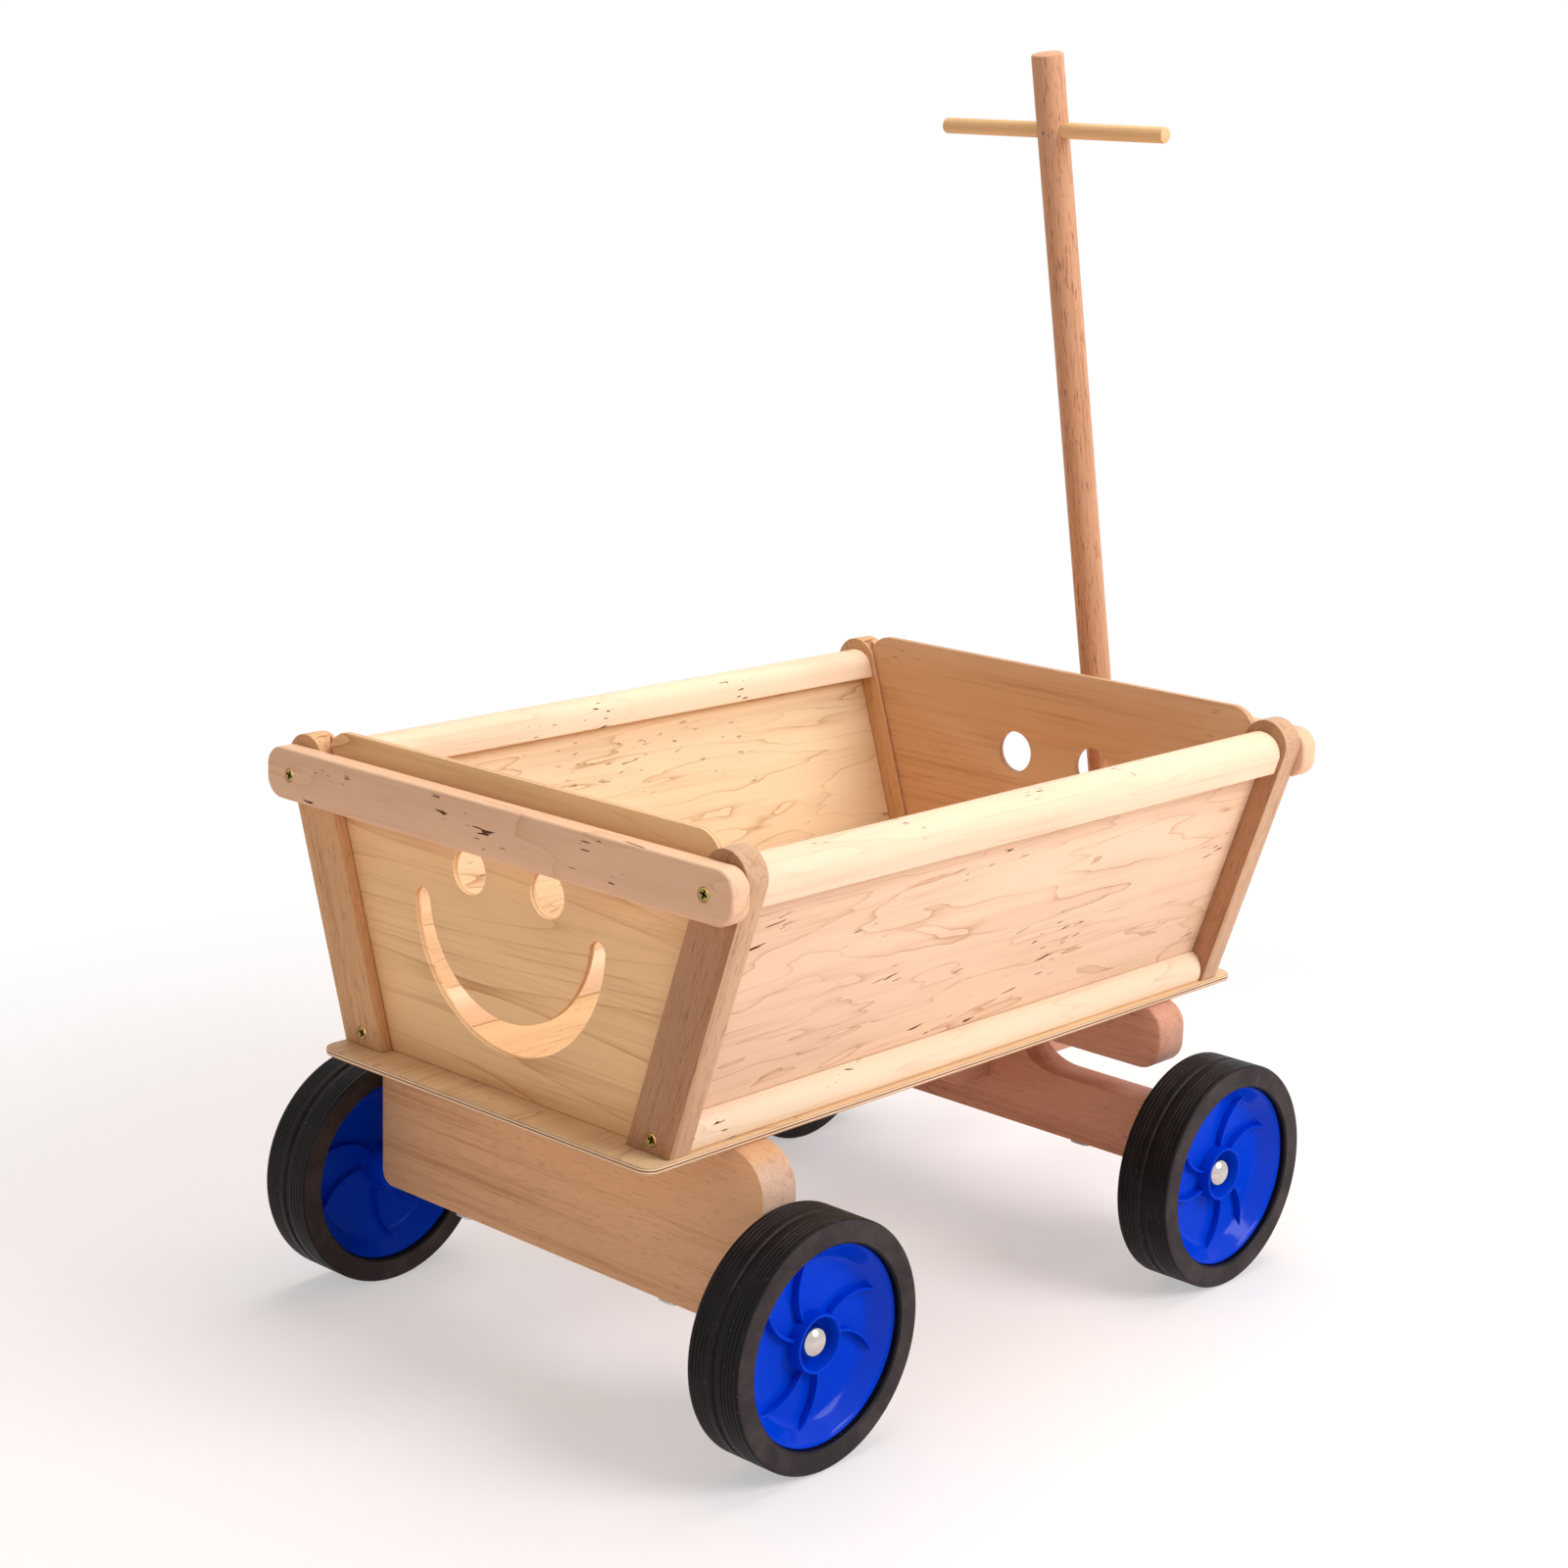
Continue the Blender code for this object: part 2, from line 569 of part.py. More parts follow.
def kingpin(cart, finishes):
    """A round-head bolt from above the axle to a washer and nut on the box floor."""
    spot = (WHEELBASE, 0.0, 0.0)
    washer_foot = FLOOR_TOP + FIT
    nut_foot = washer_foot + KINGPIN_WASHER + FIT
    nut_top = nut_foot + KINGPIN_NUT
    neck = KINGPIN_HEAD_FOOT + KINGPIN_HEAD
    bolt = [(0.0, KINGPIN_HEAD_FOOT), (KINGPIN_HEAD_RADIUS, KINGPIN_HEAD_FOOT),
            (KINGPIN_HEAD_RADIUS, neck), (KINGPIN_RADIUS, neck),
            (KINGPIN_RADIUS, nut_top), (0.0, nut_top)]
    piece("kingpin_bolt", lathe(bolt, SMALL_STEPS), finishes["steel"], cart, spot)
    washer = tube_profile(KINGPIN_RADIUS + FIT, KINGPIN_WASHER_RADIUS,
                          washer_foot, washer_foot + KINGPIN_WASHER)
    piece("kingpin_washer", lathe(washer, SMALL_STEPS), finishes["steel"], cart, spot)
    nut = tube_profile(KINGPIN_RADIUS + FIT, KINGPIN_NUT_RADIUS, nut_foot, nut_top)
    piece("kingpin_nut", hexagon(lathe(nut, 6)), finishes["steel"], cart, spot)


def hexagon(shape):
    """A six-sided tube, its bore widened so that its flats still clear the round pin."""
    inner = min(vert.co.xy.length for vert in shape.verts)
    widen = 1.0 / math.cos(math.pi / 6)
    for vert in shape.verts:
        if vert.co.xy.length < inner + WELD:
            vert.co.xy *= widen
    return shape


def axle_set(holder, finishes, end):
    """A steel axle with its two straps under the beam and a dome cap on each end."""
    axle = lathe(rod_profile(AXLE_DIAMETER / 2, -AXLE_HALF, AXLE_HALF), ROUND_STEPS, "Y")
    piece(end + "_axle_rod", axle, finishes["steel"], holder, (0.0, 0.0, AXLE_Z))
    thick = BEAM_THICKNESS / 2
    for side, name in ((1, "left"), (-1, "right")):
        outline = rounded_box((-thick, -STRAP_WIDTH / 2), (thick, STRAP_WIDTH / 2), [STRAP_WIDTH / 4] * 4, 2)
        strap = prism(outline, BEAM_BOTTOM - FIT - STRAP_THICKNESS, BEAM_BOTTOM - FIT, "Z")
        piece(f"{end}_axle_strap_{name}", strap, finishes["steel"], holder, (0.0, side * STRAP_Y, 0.0))
        foot = WHEEL_Y + HUB_SEAT + FIT
        cap = lathe(cap_profile(), ROUND_STEPS, "Y" if side > 0 else "-Y")
        piece(f"{end}_axle_cap_{name}", cap, finishes["chrome"], holder, (0.0, side * foot, AXLE_Z))


def cap_profile():
    """A dome over a short straight rim, bored for the end of the axle."""
    bore = AXLE_DIAMETER / 2 + FIT
    dome = arc((0.0, CAP_RIM), 1.0, 0, 90, CORNER_STEPS + 1)
    rise = CAP_HEIGHT - CAP_RIM
    points = [(x * CAP_RADIUS, CAP_RIM + (y - CAP_RIM) * rise) for x, y in dome]
    points[-1] = (0.0, CAP_HEIGHT)
    return [(0.0, CAP_SOCKET), (bore, CAP_SOCKET), (bore, 0.0), (CAP_RADIUS, 0.0)] + points


def tyre_profile():
    """Half section of a solid tyre with round shoulders and straight tread grooves."""
    half = TYRE_WIDTH / 2
    edge = TYRE_RADIUS - TYRE_SHOULDER
    profile = [(TYRE_BORE_RADIUS, -half), (edge, -half)]
    profile += [(edge + x, y) for x, y in arc((0.0, TYRE_SHOULDER - half), TYRE_SHOULDER, -45, 0, 1)]
    flat = TYRE_WIDTH - 2 * TYRE_SHOULDER
    for number in range(TREAD_GROOVES):
        middle = -flat / 2 + flat * (number + 0.5) / TREAD_GROOVES
        low = middle - TREAD_GROOVE_WIDTH / 2
        high = middle + TREAD_GROOVE_WIDTH / 2
        floor = TYRE_RADIUS - TREAD_GROOVE_DEPTH
        profile += [(TYRE_RADIUS, low), (floor, low), (floor, high), (TYRE_RADIUS, high)]
    profile += [(edge + x, y) for x, y in arc((0.0, half - TYRE_SHOULDER), TYRE_SHOULDER, 0, 45, 1)]
    return profile + [(edge, half), (TYRE_BORE_RADIUS, half)]


def dish(depth, web):
    """The curve from the rim's lip down to the web, on one face of the wheel."""
    lip = TYRE_BORE_RADIUS - FIT - RIM_LIP
    curve = arc((0.0, 0.0), 1.0, 0, 90, CORNER_STEPS)
    return [(DISH_RADIUS + (lip - DISH_RADIUS) * x, depth + (web - depth) * y) for x, y in curve]


def rim_profile():
    """Half section of the wheel centre: lip, dish, web and hub ring, then its inner face."""
    outer = TYRE_BORE_RADIUS - FIT
    bore = AXLE_DIAMETER / 2 + RUN_FIT
    ring = HUB_RING_RADIUS - HUB_RING_WALL
    profile = [(outer, RIM_HALF_WIDTH)] + dish(RIM_HALF_WIDTH, WEB_OUTER)
    profile += [(HUB_RING_RADIUS, WEB_OUTER), (HUB_RING_RADIUS, HUB_RING_HEIGHT), (ring, HUB_RING_HEIGHT),
                (ring, HUB_SEAT), (bore, HUB_SEAT), (bore, HUB_TUBE_END),
                (HUB_TUBE_RADIUS, HUB_TUBE_END), (HUB_TUBE_RADIUS, WEB_INNER)]
    profile += reversed(dish(-RIM_HALF_WIDTH, WEB_INNER))
    return profile + [(outer, -RIM_HALF_WIDTH)]


def rib_outline(number):
    """One swirl rib in the wheel's plane, from inside the hub ring to inside the rim."""
    start = HUB_RING_RADIUS - HUB_RING_WALL / 2
    edges = ([], [])
    for step in range(RIB_PIECES + 1):
        share = step / RIB_PIECES
        radius = start + (RIB_END_RADIUS - start) * share
        angle = RIB_START + 2 * math.pi * number / RIB_COUNT + RIB_SWEEP * share ** RIB_BEND
        half = RIB_THICKNESS / 2 / radius
        for edge, turn in zip(edges, (angle - half, angle + half)):
            edge.append((radius * math.cos(turn), radius * math.sin(turn)))
    return edges[0] + edges[1][::-1]


def rim_mesh(finishes):
    """The moulded wheel centre, with its ribs joined on. Outwards is -Y."""
    phase = math.pi / WHEEL_STEPS
    body = piece("rim_body", lathe(rim_profile(), WHEEL_STEPS, "-Y", phase=phase), finishes["blue"], None)
    ribs = bmesh.new()
    for number in range(RIB_COUNT):
        prism(rib_outline(number), -RIB_OUTER_TOP, -RIB_INNER_TOP, "Y", shape=ribs)
    combine(body, ribs, "UNION")
    depsgraph = bpy.context.evaluated_depsgraph_get()
    mesh = bpy.data.meshes.new_from_object(body.evaluated_get(depsgraph))
    mesh.name = "wheel_rim"
    mesh.set_sharp_from_angle(angle=SMOOTH_ANGLE)
    for leftover in [item.object for item in body.modifiers] + [body]:
        bpy.data.objects.remove(leftover, do_unlink=True)
    return mesh


def wheels(holders, finishes):
    """Four like wheels, each on its own empty at the middle of its hub."""
    rim = rim_mesh(finishes)
    tyre_shape = lathe(tyre_profile(), WHEEL_STEPS, "-Y", phase=math.pi / WHEEL_STEPS)
    first = None
    for name, holder in holders.items():
        place("wheel_rim_" + name, rim, holder)
        if first is None:
            first = piece("tyre_" + name, tyre_shape, finishes["rubber"], holder)
        else:
            place("tyre_" + name, first.data, holder)


def steering_beam(bogie, finishes):
    """The swivelling beam: a raised boss under the bolster, with hollow shoulders."""
    half = BEAM_LENGTH / 2
    drop = STEER_BOSS_TOP - STEER_ARM_TOP
    hollow = arc((0.0, 0.0), 1.0, 270, 180, CORNER_STEPS + 2)
    corner = STEER_ARM_ROUND
    right = arc((half - BEAM_FOOT_ROUND, BEAM_BOTTOM + BEAM_FOOT_ROUND), BEAM_FOOT_ROUND, 270, 360, CORNER_STEPS)
    right += arc((half - corner, STEER_ARM_TOP - corner), corner, 0, 90, CORNER_STEPS)
    right += [(STEER_BOSS_HALF + STEER_HOLLOW * (1 + y), STEER_BOSS_TOP + drop * z) for y, z in hollow]
    outline = right + [(-y, z) for y, z in reversed(right)]
    thick = BEAM_THICKNESS / 2
    beam = piece("steering_beam", prism(outline, -thick, thick), finishes["beech"], bogie)
    combine(beam, axle_slot(BEAM_LENGTH, 0.0))
    mortise = rounded_box((-TONGUE_WIDTH / 2 - FIT, TONGUE_FOOT - FIT),
                          (TONGUE_WIDTH / 2 + FIT, TONGUE_TOP + FIT), [0.0] * 4)
    combine(beam, prism(mortise, -thick - OVERCUT, thick + OVERCUT))
    head = KINGPIN_HEAD_RADIUS + RUN_FIT
    pin = KINGPIN_RADIUS + RUN_FIT
    seat = KINGPIN_HEAD_FOOT + KINGPIN_HEAD + FIT
    bore = [(0.0, BEAM_BOTTOM - OVERCUT), (head, BEAM_BOTTOM - OVERCUT), (head, seat), (pin, seat),
            (pin, STEER_BOSS_TOP + OVERCUT), (0.0, STEER_BOSS_TOP + OVERCUT)]
    combine(beam, lathe(bore, SMALL_STEPS))
    plate_foot = STEER_BOSS_TOP + FIT
    plate = tube_profile(pin, TURN_PLATE_RADIUS, plate_foot, plate_foot + TURN_PLATE_THICKNESS)
    piece("turning_plate", lathe(plate, ROUND_STEPS), finishes["steel"], bogie)


def rivet_places():
    """Where the rivets through the fork and the tongue lie, along the cart."""
    last = TONGUE_FRONT - RIVET_FROM_END - WHEELBASE
    return [last - RIVET_SPACING, last]


def tongue_and_fork(bogie, finishes):
    """A tongue through the beam, with a strap on each side that holds the drawbar's pivot."""
    half = TONGUE_WIDTH / 2
    rear = -BEAM_THICKNESS / 2 - TONGUE_TAIL
    front = TONGUE_FRONT - WHEELBASE
    outline = rounded_box((rear, TONGUE_FOOT), (front, TONGUE_TOP), [0.0] * 4)
    tongue = piece("drawbar_tongue", prism(outline, -half, half, "Y"), finishes["beech"], bogie)
    pin = KINGPIN_RADIUS + RUN_FIT
    combine(tongue, lathe(rod_profile(pin, TONGUE_FOOT - OVERCUT, TONGUE_TOP + OVERCUT), SMALL_STEPS))
    pivot = (PIVOT_X - WHEELBASE, 0.0, PIVOT_Z)
    reach = CHEEK_OUTER + OVERCUT
    for number, along in enumerate(rivet_places(), 1):
        spot = (along, 0.0, PIVOT_Z)
        combine(tongue, moved(lathe(rod_profile(RIVET_RADIUS + FIT, -reach, reach), SMALL_STEPS, "Y"), spot))
        face = CHEEK_OUTER + FIT
        top = face + RIVET_HEAD
        rivet = [(0.0, -top), (RIVET_HEAD_RADIUS, -top), (RIVET_HEAD_RADIUS, -face), (RIVET_RADIUS, -face),
                 (RIVET_RADIUS, face), (RIVET_HEAD_RADIUS, face), (RIVET_HEAD_RADIUS, top), (0.0, top)]
        piece(f"fork_rivet_{number}", lathe(rivet, SMALL_STEPS, "Y"), finishes["steel"], bogie, spot)
    for side, name in ((1, "left"), (-1, "right")):
        cheek = fork_cheek(bogie, finishes, side, name)
        for along in rivet_places():
            hole = rod_profile(RIVET_RADIUS + FIT, -reach, reach)
            combine(cheek, moved(lathe(hole, SMALL_STEPS, "Y"), (along, 0.0, PIVOT_Z)))
        hole = rod_profile(PIVOT_BOLT_RADIUS + RUN_FIT, -reach, reach)
        combine(cheek, moved(lathe(hole, SMALL_STEPS, "Y"), pivot))
    face = CHEEK_OUTER + FIT
    end = face + PIVOT_NUT
    bolt = [(0.0, -face - PIVOT_HEAD), (PIVOT_HEAD_RADIUS, -face - PIVOT_HEAD), (PIVOT_HEAD_RADIUS, -face),
            (PIVOT_BOLT_RADIUS, -face), (PIVOT_BOLT_RADIUS, end), (0.0, end)]
    piece("pivot_bolt", lathe(bolt, SMALL_STEPS, "Y"), finishes["steel"], bogie, pivot)
    nut = hexagon(lathe(tube_profile(PIVOT_BOLT_RADIUS + FIT, PIVOT_HEAD_RADIUS, face, end), 6))
    bmesh.ops.rotate(nut, verts=nut.verts, cent=(0, 0, 0), matrix=Matrix.Rotation(-math.pi / 2, 3, "X"))
    piece("pivot_nut", nut, finishes["steel"], bogie, pivot)


def fork_cheek(bogie, finishes, side, name):
    """A flat strap beside the tongue, round at its front end."""
    half = CHEEK_HEIGHT / 2
    middle = PIVOT_X - WHEELBASE
    outline = [(middle - CHEEK_REACH, PIVOT_Z + half), (middle - CHEEK_REACH, PIVOT_Z - half)]
    outline += arc((middle, PIVOT_Z), half, -90, 90, TOP_STEPS)
    near = min(side * CHEEK_INNER, side * CHEEK_OUTER)
    return piece("fork_cheek_" + name, prism(outline, near, near + CHEEK_THICKNESS, "Y"),
                 finishes["steel"], bogie)


def drawbar(holder, finishes):
    """A round bar from the pivot upwards, with a thin cross handle through it."""
    foot = arc((0.0, 0.0), DRAWBAR_RADIUS, -90, 0, CORNER_STEPS)
    foot[0] = (0.0, -DRAWBAR_RADIUS)
    edge = DRAWBAR_RADIUS - DRAWBAR_CHAMFER
    profile = foot + [(DRAWBAR_RADIUS, DRAWBAR_LENGTH - DRAWBAR_CHAMFER),
                      (edge, DRAWBAR_LENGTH), (0.0, DRAWBAR_LENGTH)]
    bar = piece("drawbar_rod", lathe(profile, ROUND_STEPS), finishes["beech"], holder)
    reach = DRAWBAR_RADIUS + OVERCUT
    combine(bar, lathe(rod_profile(PIVOT_BOLT_RADIUS + RUN_FIT, -reach, reach), SMALL_STEPS, "Y"))
    bore = lathe(rod_profile(CROSSBAR_RADIUS + FIT, -reach, reach), SMALL_STEPS, "Y")
    combine(bar, moved(bore, (0.0, 0.0, CROSSBAR_ALONG)))
    half = CROSSBAR_LENGTH / 2
    handle = lathe(rod_profile(CROSSBAR_RADIUS, -half, half, CROSSBAR_CHAMFER), SMALL_STEPS, "Y")
    piece("drawbar_crossbar", handle, finishes["beech"], holder, (0.0, 0.0, CROSSBAR_ALONG))


def main():
    for old in list(bpy.data.objects):
        bpy.data.objects.remove(old, do_unlink=True)
    finishes = make_finishes()
    cart = empty("cart", (-MIDDLE_X, 0.0, 0.0))
    floor_plate(cart, finishes)
    side_rails = {}
    for side, name in ((1, "left"), (-1, "right")):
        side_rails[name] = side_pieces(cart, finishes, side, name)
    rear_end = empty("rear_end", (END_REAR, 0.0, 0.0), cart)
    end_pieces(rear_end, finishes, "rear", ("left", "right"), side_rails)
    front_end = empty("front_end", (END_FRONT, 0.0, 0.0), cart, math.pi)
    end_pieces(front_end, finishes, "front", ("right", "left"), side_rails)
    rear_beam(cart, finishes)
    front_bolster(cart, finishes)
    kingpin(cart, finishes)
    axle_set(cart, finishes, "rear")
    bogie = empty("bogie", (WHEELBASE, 0.0, 0.0), cart)
    steering_beam(bogie, finishes)
    axle_set(bogie, finishes, "front")
    tongue_and_fork(bogie, finishes)
    pivot = empty("drawbar_pivot", (PIVOT_X - WHEELBASE, 0.0, PIVOT_Z), bogie, tilt=-DRAWBAR_LEAN)
    drawbar(pivot, finishes)
    hubs = {}
    for end, carrier in (("rear", cart), ("front", bogie)):
        for side, name in ((1, "left"), (-1, "right")):
            turn = math.pi if side > 0 else 0.0
            hub = empty(f"hub_{end}_{name}", (0.0, side * WHEEL_Y, AXLE_Z), carrier, turn)
            hubs[f"{end}_{name}"] = hub
    wheels(hubs, finishes)


main()
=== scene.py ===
import json
import math

import bpy
from mathutils import Matrix, Vector


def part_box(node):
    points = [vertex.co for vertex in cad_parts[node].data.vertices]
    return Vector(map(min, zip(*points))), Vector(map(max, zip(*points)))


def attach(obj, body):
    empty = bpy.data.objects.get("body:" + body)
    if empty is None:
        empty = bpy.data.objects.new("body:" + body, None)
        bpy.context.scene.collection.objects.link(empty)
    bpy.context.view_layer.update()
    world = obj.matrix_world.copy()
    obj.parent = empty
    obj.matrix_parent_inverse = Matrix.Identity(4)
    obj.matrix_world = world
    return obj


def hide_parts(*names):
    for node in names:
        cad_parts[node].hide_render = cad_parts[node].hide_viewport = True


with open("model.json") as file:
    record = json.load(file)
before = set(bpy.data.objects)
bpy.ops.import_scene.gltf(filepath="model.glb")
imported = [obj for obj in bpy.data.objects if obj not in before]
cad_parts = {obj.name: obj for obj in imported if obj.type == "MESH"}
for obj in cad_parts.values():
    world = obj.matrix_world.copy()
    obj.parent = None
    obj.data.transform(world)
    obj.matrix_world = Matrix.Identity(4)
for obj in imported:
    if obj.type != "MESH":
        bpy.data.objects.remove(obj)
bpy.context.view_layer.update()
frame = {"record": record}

bl_info = {
    "name": "Wooden hand cart",
    "version": (1, 0, 0),
    "blender": (4, 5, 0),
    "location": "View3D > Sidebar > Cart",
    "description": "Dresses the packed hand cart in lacquered wood, blue wheels and a plain studio",
    "category": "Object",
}

BODY_OF = {node: body for body, nodes in frame["record"]["behaviour"]["bodies"].items() for node in nodes}
ENDS = ("rear", "front")
SIDES = ("left", "right")
FLOOR_LOW, FLOOR_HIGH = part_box("floor_plate")
REAR_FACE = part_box("corner_post_rear_left")[0].x
FRONT_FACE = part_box("corner_post_front_left")[1].x
BOX_MIDDLE = (REAR_FACE + FRONT_FACE) / 2


def middle(node):
    """The middle of a CAD node's box."""
    low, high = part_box(node)
    return (low + high) / 2


KINGPIN = middle("kingpin_bolt")
PIVOT = middle("pivot_bolt")
REAR_AXLE = middle("rear_axle_rod")
FRONT_AXLE = middle("front_axle_rod")
HANDLE = middle("drawbar_crossbar")
BAR_LEAN = math.atan2(HANDLE.x - PIVOT.x, HANDLE.z - PIVOT.z)
BAR_REACH = math.hypot(HANDLE.x - PIVOT.x, HANDLE.z - PIVOT.z)
PAST = 0.01


def length(name, default, words):
    """A length that a user may change."""
    return bpy.props.FloatProperty(name=name, description=words, default=default, min=0.0,
                                   precision=4, subtype="DISTANCE", unit="LENGTH")


def tint(name, default, words):
    """A colour that a user may change."""
    return bpy.props.FloatVectorProperty(name=name, description=words, default=default, size=3,
                                         min=0.0, max=1.0, subtype="COLOR")


class CartSizes(bpy.types.PropertyGroup):
    """Sizes of the cart's wooden and turned pieces."""
    fit: length("Fit", 0.0003, "Gap between pieces that are fixed together")
    lean: bpy.props.FloatProperty(name="Lean", description="How far the sides lean out",
                                  default=math.radians(18), subtype="ANGLE", unit="ROTATION")
    foot_y: length("Foot", 0.164, "Middle of a side's foot from the cart's centre line")
    post_width: length("Post width", 0.044, "Width of a corner post across the lean")
    post_top: length("Post top", 0.490, "Height of the posts' round tops")
    panel: length("Panel", 0.0065, "Thickness of the plywood panels")
    rail_groove: length("Rail groove", 0.005, "How deep a side panel stands in its rails")
    post_groove: length("Post groove", 0.008, "How deep an end panel stands in its posts")
    top_rail_width: length("Top rail width", 0.0375, "Width of the side top rails")
    top_rail_height: length("Top rail height", 0.030, "Height of the side top rails")
    top_rail_drop: length("Top rail drop", 0.0105, "How far the rails lie below the posts' tops")
    foot_rail_width: length("Foot rail width", 0.039, "Width of the side foot rails")
    foot_rail_height: length("Foot rail height", 0.029, "Height of the side foot rails")
    panel_recess: length("Panel recess", 0.0115, "End panel's depth behind the posts' faces")
    panel_top: length("Panel top", 0.496, "Height of the end panels")
    panel_shoulder: length("Panel shoulder", 0.024, "Radius of the end panels' shoulders")
    eye: length("Eye", 0.038, "Diameter of the eye holes")
    eye_spacing: length("Eye spacing", 0.089, "Distance between the eye holes")
    eye_height: length("Eye height", 0.4125, "Height of the eye holes' middles")
    face_shift: length("Face shift", 0.005, "How far the cut-outs lie left of the panels' middle")
    edge: length("Edge", 0.0022, "Rounding of the boards' edges")
    fine_edge: length("Fine edge", 0.0008, "Rounding of the panels' edges")


class CartColours(bpy.types.PropertyGroup):
    """Base colours of the cart's finishes."""
    side_birch: tint("Side birch", (0.85, 0.58, 0.385), "Peach birch of the side panels")
    left_birch: tint("Left birch", (0.855, 0.63, 0.39), "Yellower birch of the left side panel")
    end_birch: tint("End birch", (0.90, 0.58, 0.30), "Tan birch of the end panels")
    # Painted shade: the front panel's colour is the end panels' birch made darker and browner, for the shade
    # on its inner face.
    front_birch: tint("Front birch", (0.72, 0.43, 0.24), "Browner birch of the front end panel")
    floor_birch: tint("Floor birch", (0.80, 0.53, 0.29), "Brown birch of the floor plate")
    pale: tint("Pale birch", (0.88, 0.66, 0.45), "Cream birch of the rails")
    grey_birch: tint("End rail birch", (0.80, 0.50, 0.31), "Birch of the end rails")
    # Painted light and shade: the right posts' colour is the paler look of their lit side faces, and the
    # front and rear faces of all posts are darkened from these colours as painted shade.
    left_beech: tint("Left beech", (0.74, 0.42, 0.21), "Yellowish beech of the left posts")
    right_beech: tint("Right beech", (0.60, 0.365, 0.215), "Pinkish beech of the right posts")
    # Partly painted shade: this redder, darker beech is partly the wood's own tone and partly the purplish
    # shade that falls on the bolster, steering beam and tongue under the box.
    bogie: tint("Bogie beech", (0.69, 0.345, 0.225), "Redder beech of the bolster and steering beam")
    beam: tint("Beam beech", (0.75, 0.435, 0.23), "Beech of the axle beams")
    bar: tint("Bar beech", (0.63, 0.33, 0.185), "Beech of the drawbar")
    handle: tint("Handle", (0.78, 0.48, 0.23), "Yellow wood of the cross handle")
    rubber: tint("Rubber", (0.0035, 0.0026, 0.003), "Black rubber of the tyres")
    blue: tint("Blue", (0.0, 0.044, 0.56), "Blue plastic of the wheel centres")
    brass: tint("Yellow zinc", (0.78, 0.56, 0.16), "Yellow plating of the screws")
    steel: tint("Steel", (0.56, 0.56, 0.57), "Zinc plating of the bolts and axles")
    # Partly painted reflection: the caps' darker, warmer grey is partly the plating's own colour and partly
    # the dark brown surroundings that they reflect.
    chrome: tint("Chrome", (0.62, 0.57, 0.54), "Warm plating of the dome caps")


def sizes():
    return bpy.context.scene.cart_sizes


def colours():
    return bpy.context.scene.cart_colours


class Wire:
    """A shader value. Expressions on it add Math nodes to its material."""

    def __init__(self, sheet, socket):
        self.sheet = sheet
        self.socket = socket

    def math(self, operation, first, second=0.0):
        node = self.sheet.add("ShaderNodeMath", {"operation": operation}, {0: first, 1: second})
        return Wire(self.sheet, node.outputs[0])

    def __add__(self, other):
        return self.math("ADD", self, other)

    def __radd__(self, other):
        return self.math("ADD", other, self)

    def __sub__(self, other):
        return self.math("SUBTRACT", self, other)

    def __rsub__(self, other):
        return self.math("SUBTRACT", other, self)

    def __mul__(self, other):
        return self.math("MULTIPLY", self, other)

    def __rmul__(self, other):
        return self.math("MULTIPLY", other, self)

    def __truediv__(self, other):
        return self.math("DIVIDE", self, other)

    def __pow__(self, other):
        return self.math("POWER", self, other)

    def __mod__(self, other):
        return self.math("FLOORED_MODULO", self, other)

    def __abs__(self):
        return self.math("ABSOLUTE", self)

    def above(self, edge, soft=0.05):
        """0 below an edge and 1 above it, with a soft step between."""
        step = self.sheet.add("ShaderNodeMapRange", {"interpolation_type": "SMOOTHSTEP", "clamp": True},
                              {0: self, 1: edge - soft, 2: edge + soft})
        return Wire(self.sheet, step.outputs[0])


